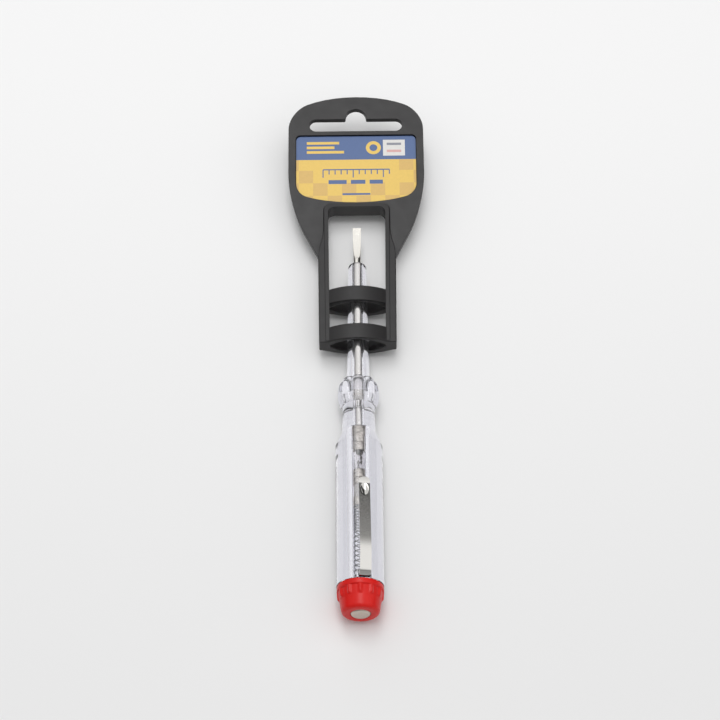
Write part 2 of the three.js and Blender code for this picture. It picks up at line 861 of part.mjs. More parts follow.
// An arch over the shank: a band between two arcs, from rail to rail.
function archBar(y, half, footHeight, side) {
  const outline = new THREE.Shape();
  const arcPoints = (height, foot) => {
    const rise = height - foot;
    const radius = (half * half + rise * rise) / (2 * rise);
    const spread = Math.asin(half / radius);
    return Array.from({ length: arcSteps + 1 }, (_, step) => {
      const angle = spread * (1 - (2 * step) / arcSteps);
      const z = foot + radius * (Math.cos(angle) - Math.cos(spread));
      return new THREE.Vector2(radius * Math.sin(angle), side * z);
    });
  };
  const outer = arcPoints(archOuter, footHeight);
  const inner = arcPoints(archInner, footHeight - archThickness);
  const loop = [...outer, ...inner.reverse()];
  outline.setFromPoints(loop);
  return barAlongY(outline, y, loopWidth);
}

// The head plate's outline: s runs along the plate from the window's far edge, x across it.
function plateOutline() {
  const topCentre = plateReach - plateTopRadius;
  const cornerX = plateHalf - plateCorner;
  const reach = plateTopRadius - plateCorner;
  const cornerS = topCentre + Math.sqrt(reach * reach - cornerX * cornerX);
  const cornerEnd = Math.atan2(cornerS - topCentre, cornerX);
  const sideX = plateHalf - plateSideRadius;
  const flareX = sideX + plateSideRadius * Math.cos(plateFlare);
  const flareS = plateSideStart - plateSideRadius * Math.sin(plateFlare);
  const footX = (rimOuterHalf + windowFarHalf) / 2;
  const footS = flareS - (flareX - footX) / Math.tan(plateFlare);
  const outline = new THREE.Shape();
  outline.moveTo(-footX, footS);
  outline.lineTo(footX, footS);
  outline.lineTo(flareX, flareS);
  outline.absarc(sideX, plateSideStart, plateSideRadius, -plateFlare, 0);
  outline.absarc(cornerX, cornerS, plateCorner, 0, cornerEnd);
  outline.absarc(0, topCentre, plateTopRadius, cornerEnd, Math.PI - cornerEnd);
  outline.absarc(-cornerX, cornerS, plateCorner, Math.PI - cornerEnd, Math.PI);
  outline.absarc(-sideX, plateSideStart, plateSideRadius, Math.PI, Math.PI + plateFlare);
  return outline;
}

// The Euro slot: a long slot with round ends and a round peak for a single hook.
function slotCutter() {
  const low = plateReach - slotFromTop;
  const high = low + slotHeight;
  const end = slotHeight / 2;
  const peakTop = high + slotPeakHeight;
  const peakCentre = peakTop - slotPeakHalf;
  const foot = slotPeakHalf + slotPeakFillet;
  const outline = new THREE.Shape();
  outline.moveTo(end - slotHalf, low);
  outline.lineTo(slotHalf - end, low);
  outline.absarc(slotHalf - end, low + end, end, -Math.PI / 2, Math.PI / 2);
  outline.lineTo(foot, high);
  outline.quadraticCurveTo(slotPeakHalf, high, slotPeakHalf, peakCentre);
  outline.absarc(0, peakCentre, slotPeakHalf, 0, Math.PI);
  outline.quadraticCurveTo(-slotPeakHalf, high, -foot, high);
  outline.lineTo(end - slotHalf, high);
  outline.absarc(end - slotHalf, low + end, end, Math.PI / 2, Math.PI * 1.5);
  return slab(outline, -plateThickness - overrun, overrun);
}

// The label's outline: straight sides, small top corners and a bowed lower edge.
function labelOutline(inset) {
  const half = labelHalf - inset;
  const top = plateReach - labelFromTop - inset;
  const sideEnd = top + inset - labelSideLength;
  const bottom = sideEnd - labelDrop + inset;
  const bowCentre = bottom + labelBottomRadius;
  const cornerX = half - labelBottomCorner;
  const reach = labelBottomRadius - labelBottomCorner;
  const cornerS = bowCentre - Math.sqrt(reach * reach - cornerX * cornerX);
  const cornerEnd = Math.atan2(bowCentre - cornerS, cornerX);
  const outline = new THREE.Shape();
  outline.moveTo(half, top - labelTopCorner);
  outline.absarc(half - labelTopCorner, top - labelTopCorner, labelTopCorner, 0, Math.PI / 2);
  outline.absarc(labelTopCorner - half, top - labelTopCorner, labelTopCorner, Math.PI / 2, Math.PI);
  outline.absarc(-cornerX, cornerS, labelBottomCorner, Math.PI, Math.PI + cornerEnd);
  outline.absarc(0, bowCentre, labelBottomRadius, Math.PI + cornerEnd, 2 * Math.PI - cornerEnd);
  outline.absarc(cornerX, cornerS, labelBottomCorner, -cornerEnd, 0);
  return outline;
}

// The plate's own frame, with its upper face at z = 0, set sloping on the tool's.
const plateFrame = new THREE.Matrix4()
  .makeTranslation(0, windowFarY, frameDepth / 2 - plateDrop)
  .multiply(new THREE.Matrix4().makeRotationX(plateTilt));

function hangerBody() {
  const plate = cut(
    slab(plateOutline(), -plateThickness, 0),
    slotCutter(),
    slab(labelOutline(0), -recessDepth, overrun),
  ).applyMatrix4(plateFrame);
  const block = join(plate, frameBlock());
  const open = cut(block, windowCutter());
  const half = (windowNearHalf + railNearHalf) / 2;
  const arches = [];
  for (const y of [hangerNearY, hangerNearY + loopPitch]) {
    arches.push(archBar(y, half, frameDepth / 2 - seatGap, 1));
    arches.push(archBar(y, backArchHalf, frameDepth / 2 - seatGap, -1));
  }
  return piece("hanger_body", join(open, ...arches), "black");
}

function labelCard() {
  const floor = turnedGap - recessDepth;
  const card = slab(labelOutline(turnedGap), floor, floor + cardThickness);
  return piece("label_card", card.applyMatrix4(plateFrame), "card");
}

const tool = new THREE.Group();
tool.add(bladeShank(), shankSleeve(), handle(), frontContact());
tool.add(...glowLamp(), ...seriesResistor(), contactSpring());
tool.add(contactRivet(), rivetWasher(), endCap(), pocketClip());
tool.add(hangerBody(), labelCard());

// The handle's rear ring stands on z = 0, and the part's length is centred on the origin.
const lowestCorner = new THREE.Vector3(0, plateReach, -plateThickness).applyMatrix4(plateFrame);
tool.position.set(0, -lowestCorner.y / 2, rearRingRadius);

const part = new THREE.Group();
part.add(tool);
export default part;
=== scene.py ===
# Voltage tester screwdriver, its insulated blade held in the two loops of a black hanger.
# Each section below makes one piece or one group of like pieces, in the order of assembly.
import math

import bmesh
import bpy
from mathutils import Matrix, Vector


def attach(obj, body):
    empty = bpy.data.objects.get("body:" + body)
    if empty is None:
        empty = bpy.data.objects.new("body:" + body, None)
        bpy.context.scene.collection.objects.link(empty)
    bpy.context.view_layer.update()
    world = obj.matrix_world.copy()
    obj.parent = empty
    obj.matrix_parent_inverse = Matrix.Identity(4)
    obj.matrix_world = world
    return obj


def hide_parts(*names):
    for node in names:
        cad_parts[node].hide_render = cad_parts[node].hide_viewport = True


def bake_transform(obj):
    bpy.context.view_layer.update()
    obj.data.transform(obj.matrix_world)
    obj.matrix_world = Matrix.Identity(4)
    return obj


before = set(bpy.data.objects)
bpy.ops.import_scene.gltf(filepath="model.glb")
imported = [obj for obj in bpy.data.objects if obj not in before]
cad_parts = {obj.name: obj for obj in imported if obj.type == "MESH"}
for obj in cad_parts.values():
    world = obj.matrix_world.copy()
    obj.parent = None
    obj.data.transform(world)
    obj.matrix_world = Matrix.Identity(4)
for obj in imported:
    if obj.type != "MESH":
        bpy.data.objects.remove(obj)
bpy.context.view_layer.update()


# Blade and shank
# A plated steel rod with a forged and ground slotted blade at its far end. Its thin tail is
# pressed into the handle, and the clear sleeve covers all of it up to the blade.

# Pieces are drawn in millimetres in the tool's own frame, with its axis along Y and the touch
# contact's face at y = 0. This matrix takes them to the frame of the row, in metres.
MM = 0.001
TOOL_TO_ROW = Matrix.Translation((0, -0.09465, 0.00712)) @ Matrix.Scale(MM, 4)
FULL_TURN = 2 * math.pi
AXIS = (0, 1, 0)
SAME_PLACE = 1e-4

# Common edge radii, and how far a cutting body stands out beyond what it cuts.
THIN_EDGE = 0.05
FINE_EDGE = 0.1
EDGE = 0.2
OVERRUN = 1.0

SHANK_RADIUS = 1.2
SHANK_TAIL_RADIUS = 1.0
SHANK_TAIL_Y = 59.8
SOCKET_FLOOR_Y = 75.35
BLADE_TIP_Y = 140.0
BLADE_TAPER = 12.7
BLADE_HALF_WIDTH = 1.4
BLADE_HALF_THICKNESS = 0.27
SHANK_STEPS = 64
GRIND_STEPS = 20


def rounded_wire(points, closed=True, segments=5):
    """A wire through (x, y, z) points. A fourth number rounds the corner there."""
    bm = bmesh.new()
    corners = [bm.verts.new(point[:3]) for point in points]
    ends = corners[1:] + corners[:1] if closed else corners[1:]
    for pair in zip(corners, ends):
        bm.edges.new(pair)
    for corner, point in zip(corners, points):
        if len(point) > 3:
            bmesh.ops.bevel(
                bm,
                geom=[corner],
                offset=point[3],
                offset_type="OFFSET",
                segments=segments,
                profile=0.5,
                affect="VERTICES",
                material=-1,
            )
    return bm


def sweep(bm, angle, steps, travel=(0, 0, 0), geom=None, merge=False):
    """Sweeps a body or its geom round the tool's axis as it travels, and returns the last copy."""
    swept = bmesh.ops.spin(
        bm,
        geom=geom or bm.verts[:] + bm.edges[:] + bm.faces[:],
        cent=(0, 0, 0),
        axis=AXIS,
        angle=angle,
        steps=steps,
        dvec=[length / steps for length in travel],
        use_merge=merge,
    )
    return swept["geom_last"]


def turned(profile, steps, closed=False):
    """A body turned about the tool's axis through (radius, y) points, with optional rounding."""
    bm = rounded_wire([(0, y, radius, *rounding) for radius, y, *rounding in profile], closed)
    sweep(bm, FULL_TURN, steps, merge=True)
    bmesh.ops.remove_doubles(bm, verts=bm.verts, dist=SAME_PLACE)
    bmesh.ops.recalc_face_normals(bm, faces=bm.faces)
    return bm


def extrude(bm, along):
    """Draws a flat face out into a solid."""
    drawn = bmesh.ops.extrude_face_region(bm, geom=bm.faces[:])["geom"]
    corners = [part for part in drawn if isinstance(part, bmesh.types.BMVert)]
    bmesh.ops.translate(bm, vec=along, verts=corners)
    bmesh.ops.recalc_face_normals(bm, faces=bm.faces)


def placed(name, data):
    """A new object in the scene, from its data or from a bmesh, which is freed."""
    if isinstance(data, bmesh.types.BMesh):
        mesh = bpy.data.meshes.new(name)
        data.to_mesh(mesh)
        data.free()
        data = mesh
    thing = bpy.data.objects.new(name, data)
    bpy.context.scene.collection.objects.link(thing)
    return thing


def combined(bm, tool, operation):
    """The first body with the second one cut from it, joined to it, or kept in common."""
    parts = [placed("blank", bm), placed("blank", tool)]
    cutting = parts[0].modifiers.new("cut", "BOOLEAN")
    cutting.operation = operation
    cutting.solver = "EXACT"
    cutting.object = parts[1]
    bpy.context.view_layer.update()
    depsgraph = bpy.context.evaluated_depsgraph_get()
    result = bmesh.new()
    result.from_mesh(parts[0].evaluated_get(depsgraph).data)
    for part in parts:
        mesh = part.data
        bpy.data.objects.remove(part)
        bpy.data.meshes.remove(mesh)
    bmesh.ops.remove_doubles(result, verts=result.verts, dist=SAME_PLACE)
    return result


def finished(bm, name, body, material, replaces, sharp=30):
    """Places a body in the row's frame as a piece, smooth apart from edges over that angle."""
    bmesh.ops.transform(bm, matrix=TOOL_TO_ROW, verts=bm.verts)
    piece = placed(name, bm)
    piece.data.shade_smooth()
    piece.data.set_sharp_from_angle(angle=math.radians(sharp))
    piece.data.materials.append(material)
    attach(piece, body)
    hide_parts(*replaces)
    return piece


def ink(hex_value):
    """The linear colour of an sRGB hex value."""
    channels = [int(hex_value[i : i + 2], 16) / 255 for i in (1, 3, 5)]
    linear = [c / 12.92 if c <= 0.04045 else ((c + 0.055) / 1.055) ** 2.4 for c in channels]
    return (*linear, 1)


def fill(tree, node, inputs):
    """Sets a node's inputs to values or to outputs. A node stands for its first output."""
    for key, value in inputs.items():
        if isinstance(value, bpy.types.Node):
            value = value.outputs[0]
        if isinstance(value, bpy.types.NodeSocket):
            tree.links.new(value, node.inputs[key])
        else:
            node.inputs[key].default_value = value


def add(tree, kind, inputs=None, **settings):
    """Adds a node with its inputs, as fill sets them, and its settings."""
    node = tree.nodes.new("ShaderNode" + kind)
    for key, value in settings.items():
        setattr(node, key, value)
    fill(tree, node, inputs or {})
    return node


def new_material(name):
    """A node material: itself, its tree, its shader and a point's place on the object."""
    material = bpy.data.materials.new(name)
    material.use_nodes = True
    tree = material.node_tree
    place = add(tree, "TexCoord").outputs["Object"]
    return material, tree, tree.nodes["Principled BSDF"], place


# Bright nickel plate over turned and ground steel. Grinding lines 0.1 mm apart run round the rod,
# so the highlight breaks up a little, and handling has left faint dull patches 2 mm wide. Every
# pattern's scale is written as its number of cells in a millimetre.
plated_steel, tree, shader, place = new_material("bright nickel-plated steel")
lines = add(tree, "Mapping", {"Vector": place, "Scale": Vector((0.3, 9, 0.3)) / MM})
grind = add(tree, "TexNoise", {"Vector": lines, "Scale": 1.0, "Detail": 2.0})
dull = add(tree, "TexNoise", {"Vector": place, "Scale": 0.45 / MM, "Detail": 3.0})
rough = add(
    tree,
    "MapRange",
    {"Value": dull, "From Min": 0.3, "From Max": 0.7, "To Min": 0.1, "To Max": 0.2},
)
bump = add(tree, "Bump", {"Height": grind, "Strength": 0.08, "Distance": 0.00002})
fill(
    tree,
    shader,
    {"Base Color": ink("#efece5"), "Metallic": 1.0, "Roughness": rough, "Normal": bump},
)

rod = turned(
    [
        (0, SHANK_TAIL_Y),
        (SHANK_TAIL_RADIUS, SHANK_TAIL_Y, EDGE),
        (SHANK_TAIL_RADIUS, SOCKET_FLOOR_Y),
        (SHANK_RADIUS, SOCKET_FLOOR_Y, FINE_EDGE),
        (SHANK_RADIUS, BLADE_TIP_Y - BLADE_TAPER),
        (BLADE_HALF_WIDTH, BLADE_TIP_Y, THIN_EDGE),
        (0, BLADE_TIP_Y),
    ],
    SHANK_STEPS,
)

# The grinding wheel leaves two faces that close in fast at first and end almost flat.
upper = [
    (SHANK_TAIL_Y - OVERRUN, SHANK_RADIUS + OVERRUN),
    (BLADE_TIP_Y - BLADE_TAPER - OVERRUN, SHANK_RADIUS + OVERRUN),
]
for step in range(GRIND_STEPS + 1):
    share = step / GRIND_STEPS
    closing = math.sin(share * math.pi / 2) ** 0.5
    height = SHANK_RADIUS + (BLADE_HALF_THICKNESS - SHANK_RADIUS) * closing
    upper.append((BLADE_TIP_Y - BLADE_TAPER * (1 - share), height))
upper.append((BLADE_TIP_Y + OVERRUN, BLADE_HALF_THICKNESS))
outline = upper + [(y, -z) for y, z in reversed(upper)]
ground = bmesh.new()
ground.faces.new([ground.verts.new((-2 * BLADE_HALF_WIDTH, y, z)) for y, z in outline])
extrude(ground, (4 * BLADE_HALF_WIDTH, 0, 0))
blade = combined(rod, ground, "INTERSECT")
finished(blade, "ground_blade", "handle", plated_steel, ["blade_shank"], 20)


# Insulating sleeve
# A clear plastic tube, extruded and shrunk on the shank with a slight taper. It is pushed into the
# handle's socket and its far end is rounded.

SLEEVE_REAR_Y = 75.4
COLLAR_FRONT_Y = 80.55
SLEEVE_FRONT_Y = 125.3
SLEEVE_REAR_RADIUS = 3.6
SLEEVE_FRONT_RADIUS = 2.95
SLEEVE_BORE = 1.3
SLEEVE_ROUND = 1.5
CLEAR_STEPS = 128
HAZE_SHARE = 0.02


# Clear injection-moulded plastic, polished by its mould, with a faint violet cast. Flow marks 2 mm
# wide and 7 mm long bend what shows through it, and handling has dulled it in patches of 4 mm.
def clear_plastic(name, colour, flow):
    """The clear plastic in a tint, with flow marks of a given strength."""
    material, tree, shader, place = new_material(name)
    stretched = add(tree, "Mapping", {"Vector": place, "Scale": (1.0, 0.3, 1.0)})
    ripple = add(tree, "TexNoise", {"Vector": stretched, "Scale": 0.5 / MM, "Detail": 1.0})
    touch = add(tree, "TexNoise", {"Vector": place, "Scale": 0.26 / MM, "Detail": 4.0})
    rough = add(
        tree,
        "MapRange",
        {"Value": touch, "From Min": 0.5, "From Max": 0.8, "To Min": 0.0, "To Max": 0.05},
    )
    bump = add(tree, "Bump", {"Height": ripple, "Strength": flow, "Distance": 0.0001})
    fill(
        tree,
        shader,
        {
            "Base Color": ink(colour),
            "Transmission Weight": 1 - HAZE_SHARE,
            "IOR": 1.48,
            "Roughness": rough,
            "Normal": bump,
        },
    )
    return material


sleeve_plastic = clear_plastic("clear extruded plastic", "#fafafd", 0.03)
sleeve = turned(
    [
        (SLEEVE_BORE, SLEEVE_REAR_Y),
        (SLEEVE_REAR_RADIUS, SLEEVE_REAR_Y, EDGE),
        (SLEEVE_REAR_RADIUS, COLLAR_FRONT_Y),
        (SLEEVE_FRONT_RADIUS, SLEEVE_FRONT_Y, SLEEVE_ROUND),
        (SLEEVE_BORE, SLEEVE_FRONT_Y, FINE_EDGE),
    ],
    CLEAR_STEPS,
    closed=True,
)
finished(sleeve, "insulating_sleeve", "handle", sleeve_plastic, ["shank_sleeve"])


# Handle
# One clear moulding: a lobed collar for the fingertips, a neck, a conical shoulder and a body with
# six flats. Its bore holds the tester's parts, and its threaded tail takes the cap.

REAR_Y = 9.05
SHOULDER_Y = 57.05
NECK_Y = 62.05
COLLAR_Y = 71.25
BODY_RADIUS = 7.25
RING_RADIUS = 7.12
RING_FRONT_Y = 13.35
RUN_OUT = 1.2
FLAT_DISTANCE = 6.7
FLATS = 6
CROWN_SHARE = 0.75
NECK_RADIUS = 5.15
NECK_ROUND = 0.5
NECK_STEP_Y = 66.35
NECK_STEP = 0.15
STEP_SLOPE = 0.2
COLLAR_RADIUS = 6.5
COLLAR_FOOT_RADIUS = 5.6
COLLAR_FOOT_ROUND = 0.5
COLLAR_RISE_LENGTH = 2.2
COLLAR_RISE_ROUND = 1.3
COLLAR_FALL_LENGTH = 2.6
COLLAR_FALL_ROUND = 1.6
COLLAR_LIP_RADIUS = 5.7
COLLAR_LIP_LENGTH = 0.4
COLLAR_LIP_ROUND = 0.7
COLLAR_MOUTH_RADIUS = 5.0
LOBES = 8
LOBE_DEPTH = 1.3
LOBE_FULLNESS = 0.7
LOBE_WALL = 0.5
TAIL_CORE = 4.2
TAIL_END_Y = 3.25
TAIL_ROUND = 0.3
THREAD_CREST = 4.6
THREAD_PITCH = 1.25
THREAD_FEET_PER_PITCH = 2.4
THREAD_CRESTS_PER_PITCH = 10
THREAD_SINK = 0.1
THREAD_START = 0.7
THREAD_TURNS = 3.4
THREAD_STEPS_PER_TURN = 48
BORE_RADIUS = 2.2
BORE_FRONT_Y = 63.05
SHANK_HOLE = 1.1
SOCKET_RADIUS = 3.7
HANDLE_STEPS = 192
CLIP_TURN = math.radians(11.25)

handle = turned(
    [
        (BORE_RADIUS, TAIL_END_Y),
        (TAIL_CORE, TAIL_END_Y, TAIL_ROUND),
        (TAIL_CORE, REAR_Y, EDGE),
        (RING_RADIUS, REAR_Y, EDGE),
        (RING_RADIUS, RING_FRONT_Y),
        (RING_RADIUS, RING_FRONT_Y + RUN_OUT),
        (BODY_RADIUS, SHOULDER_Y),
        (NECK_RADIUS, NECK_Y, NECK_ROUND),
        (NECK_RADIUS, NECK_STEP_Y, FINE_EDGE),
        (NECK_RADIUS - NECK_STEP, NECK_STEP_Y + STEP_SLOPE, FINE_EDGE),
        (NECK_RADIUS - NECK_STEP, COLLAR_Y, EDGE),
        (COLLAR_FOOT_RADIUS, COLLAR_Y + STEP_SLOPE, COLLAR_FOOT_ROUND),
        (COLLAR_RADIUS, COLLAR_Y + COLLAR_RISE_LENGTH, COLLAR_RISE_ROUND),
        (COLLAR_RADIUS, COLLAR_FRONT_Y - COLLAR_FALL_LENGTH, COLLAR_FALL_ROUND),
        (COLLAR_LIP_RADIUS, COLLAR_FRONT_Y - COLLAR_LIP_LENGTH, COLLAR_LIP_ROUND),
        (COLLAR_MOUTH_RADIUS, COLLAR_FRONT_Y, EDGE),
        (SOCKET_RADIUS, COLLAR_FRONT_Y, FINE_EDGE),
        (SOCKET_RADIUS, SOCKET_FLOOR_Y),
        (SHANK_HOLE, SOCKET_FLOOR_Y),
        (SHANK_HOLE, BORE_FRONT_Y),
        (BORE_RADIUS, BORE_FRONT_Y, EDGE),
    ],
    HANDLE_STEPS,
    closed=True,
)

# Each flat is a plane that cuts its outline into the round body, and what stands beyond it is
# pressed back part of the way, which leaves the flat a little crowned. Behind the flats the body
# runs out to the round rear ring.
flats_rear_y = RING_FRONT_Y + RUN_OUT / 2
for flat in range(FLATS):
    angle = CLIP_TURN + flat * FULL_TURN / FLATS
    outward = Vector((math.sin(angle), 0, math.cos(angle)))
    near = [
        part
        for part in handle.faces
        if flats_rear_y < part.calc_center_median().y < NECK_Y
        and part.calc_center_median().dot(outward) > BORE_RADIUS
    ]
    geom = set(near)
    for part in near:
        geom.update(part.edges)
        geom.update(part.verts)
    bmesh.ops.bisect_plane(
        handle,
        geom=list(geom),
        dist=SAME_PLACE / 10,
        plane_co=outward * FLAT_DISTANCE,
        plane_no=outward,
    )
    for vert in handle.verts:
        beyond = vert.co.dot(outward) - FLAT_DISTANCE
        if beyond > 0 and flats_rear_y < vert.co.y < NECK_Y:
            vert.co -= outward * beyond * (1 - CROWN_SHARE)

# The collar's lobes: convex, with a narrow valley between each two. Nothing stands lower than
# the rear ring, which the handle rests on.
for vert in handle.verts:
    vert.co.z = max(vert.co.z, -RING_RADIUS)
    radius = math.hypot(vert.co.x, vert.co.z)
    if COLLAR_Y + STEP_SLOPE / 2 < vert.co.y and radius > SOCKET_RADIUS + LOBE_WALL:
        turn = math.atan2(vert.co.x, vert.co.z)
        swell = abs(math.cos(turn * LOBES / 2)) ** LOBE_FULLNESS
        share = 1 - LOBE_DEPTH * (1 - swell) / radius
        vert.co.x *= share
        vert.co.z *= share
bmesh.ops.remove_doubles(handle, verts=handle.verts, dist=SAME_PLACE)

# The clip's notch, and the pocket in front of it that its foot hooks into.
CLIP_WIDTH = 3.4
CLIP_PLAY = 0.3
NOTCH_FLOOR = 5.0
NOTCH_FRONT_Y = 10.45
POCKET_FRONT_Y = 11.6
POCKET_TOP = 6.1
clip_side = Matrix.Rotation(CLIP_TURN, 3, "Y")
for low, high, rear_y, front_y in (
    (NOTCH_FLOOR, BODY_RADIUS + OVERRUN, REAR_Y - OVERRUN, NOTCH_FRONT_Y),
    (NOTCH_FLOOR, POCKET_TOP, REAR_Y + CLIP_PLAY, POCKET_FRONT_Y),
):
    cutter = bmesh.new()
    bmesh.ops.create_cube(cutter, size=1)
    size = (CLIP_WIDTH + 2 * CLIP_PLAY, front_y - rear_y, high - low)
    bmesh.ops.scale(cutter, vec=size, verts=cutter.verts)
    middle = (0, (front_y + rear_y) / 2, (low + high) / 2)
    bmesh.ops.translate(cutter, vec=middle, verts=cutter.verts)
    bmesh.ops.rotate(cutter, cent=(0, 0, 0), matrix=clip_side, verts=cutter.verts)
    handle = combined(handle, cutter, "DIFFERENCE")

# One helical thread for the cap, its foot sunk a little in the tail.
foot = THREAD_PITCH / THREAD_FEET_PER_PITCH
crest = THREAD_PITCH / THREAD_CRESTS_PER_PITCH
sunk = TAIL_CORE - THREAD_SINK
section = [
    (sunk, -foot / 2),
    (THREAD_CREST, -crest / 2),
    (THREAD_CREST, crest / 2),
    (sunk, foot / 2),
]
start_y = TAIL_END_Y + THREAD_START
thread = bmesh.new()
thread.faces.new([thread.verts.new((0, start_y + y, radius)) for radius, y in section])
thread_steps = round(THREAD_TURNS * THREAD_STEPS_PER_TURN)
sweep(thread, THREAD_TURNS * FULL_TURN, thread_steps, (0, THREAD_PITCH * THREAD_TURNS, 0))
bmesh.ops.recalc_face_normals(thread, faces=thread.faces)
handle = combined(handle, thread, "UNION")
handle_plastic = clear_plastic("clear moulded plastic", "#f8f8fc", 0.06)
finished(handle, "clear_handle", "handle", handle_plastic, ["handle"], 14)


# Parts in the bore
# From the shank back: a turned contact, the glow lamp with its two wires and its end caps, and the
# series resistor. They are pushed in loose, and the contact spring holds them together.

PART_RADIUS = 1.95
CONTACT_REAR_Y = 57.15
CONTACT_FRONT_Y = 63.0
CONTACT_HOLE_Y = 59.75
LAMP_FRONT_Y = 57.1
LAMP_REAR_Y = 44.8
LAMP_CAP = 2.8
LAMP_CAP_WALL = 0.15
LAMP_CAP_FLOOR = 0.4
GLASS_WALL = 0.35
RESISTOR_FRONT_Y = 44.75
RESISTOR_REAR_Y = 35.15
RESISTOR_FRONT_CAP = 2.3
RESISTOR_REAR_CAP = 2.9
RESISTOR_CAP_WALL = 0.2
RESISTOR_CAP_FLOOR = 0.5
CUP_ROUND = 0.25
CUP_LIP_ROUND = 0.04
SEAT = 0.05
SMALL_STEPS = 48

# Thin nickel plate over brass and steel, never polished: duller and warmer than the blade, with
# turning lines 0.1 mm apart round each piece and darker patches of 1 mm where it has tarnished.
dull_plate, tree, shader, place = new_material("dull barrel-plated nickel")
tarnish = add(tree, "TexNoise", {"Vector": place, "Scale": 0.9 / MM, "Detail": 3.0})
bare = add(tree, "MapRange", {"Value": tarnish, "From Min": 0.35, "From Max": 0.65})
tone = add(tree, "MixRGB", {"Fac": bare, "Color1": ink("#aea79d"), "Color2": ink("#e8e1d6")})
around = add(tree, "Mapping", {"Vector": place, "Scale": Vector((0.3, 12, 0.3)) / MM})
turning = add(tree, "TexNoise", {"Vector": around, "Scale": 1.0, "Detail": 1.0})
bump = add(tree, "Bump", {"Height": turning, "Strength": 0.2, "Distance": 0.00002})
fill(tree, shader, {"Base Color": tone, "Metallic": 1.0, "Roughness": 0.28, "Normal": bump})
contact = turned(
    [
        (0, CONTACT_REAR_Y),
        (PART_RADIUS, CONTACT_REAR_Y, EDGE),
        (PART_RADIUS, CONTACT_FRONT_Y, EDGE),
        (SHANK_HOLE, CONTACT_FRONT_Y, FINE_EDGE),
        (SHANK_HOLE, CONTACT_HOLE_Y),
        (0, CONTACT_HOLE_Y),
    ],
    SMALL_STEPS,
)
finished(contact, "turned_contact", "handle", dull_plate, ["front_contact"])

# Each end cap is a pressed cup that opens towards the piece it closes.
lamp_walls = (LAMP_CAP_WALL, LAMP_CAP_FLOOR)
resistor_walls = (RESISTOR_CAP_WALL, RESISTOR_CAP_FLOOR)
for name, end_y, length, (wall, floor) in (
    ("lamp_front_cap", LAMP_FRONT_Y, -LAMP_CAP, lamp_walls),
    ("lamp_rear_cap", LAMP_REAR_Y, LAMP_CAP, lamp_walls),
    ("resistor_front_cap", RESISTOR_FRONT_Y, -RESISTOR_FRONT_CAP, resistor_walls),
    ("resistor_rear_cap", RESISTOR_REAR_Y, RESISTOR_REAR_CAP, resistor_walls),
):
    mouth_y = end_y + length
    floor_y = end_y + math.copysign(floor, length)
    cup = turned(
        [
            (0, end_y),
            (PART_RADIUS, end_y, CUP_ROUND),
            (PART_RADIUS, mouth_y, CUP_LIP_ROUND),
            (PART_RADIUS - wall, mouth_y, CUP_LIP_ROUND),
            (PART_RADIUS - wall, floor_y),
            (0, floor_y),
        ],
        SMALL_STEPS,
    )
    finished(cup, f"pressed_{name}", "handle", dull_plate, [name])

# Drawn lamp glass: clear, thin and smooth, with hardly any tint. Its faint draw streaks are 1 mm
# wide and run along it.
lamp_glass, tree, shader, place = new_material("drawn lamp glass")
draw = add(tree, "Mapping", {"Vector": place, "Scale": Vector((0.9, 0.06, 0.9)) / MM})
streaks = add(tree, "TexNoise", {"Vector": draw, "Scale": 1.0, "Detail": 1.0})
bump = add(tree, "Bump", {"Height": streaks, "Strength": 0.1, "Distance": 0.00002})
fill(
    tree,
    shader,
    {
        "Base Color": ink("#f6f4f4"),
        "Transmission Weight": 1.0,
        "IOR": 1.5,
        "Roughness": 0.0,
        "Normal": bump,
    },
)
GLASS_ROUND = 0.6
GLASS_INNER_ROUND = 0.5
glass_radius = PART_RADIUS - LAMP_CAP_WALL - SEAT
glass_front_y = LAMP_FRONT_Y - LAMP_CAP_FLOOR - SEAT
glass_rear_y = LAMP_REAR_Y + LAMP_CAP_FLOOR + SEAT
glass = turned(
    [
        (0, glass_front_y - GLASS_WALL),
        (glass_radius - GLASS_WALL, glass_front_y - GLASS_WALL, GLASS_INNER_ROUND),
        (glass_radius - GLASS_WALL, glass_rear_y),
        (glass_radius, glass_rear_y, FINE_EDGE),
        (glass_radius, glass_front_y, GLASS_ROUND),
        (0, glass_front_y),
    ],
    SMALL_STEPS,
)
finished(glass, "lamp_tube", "handle", lamp_glass, ["lamp_glass"])

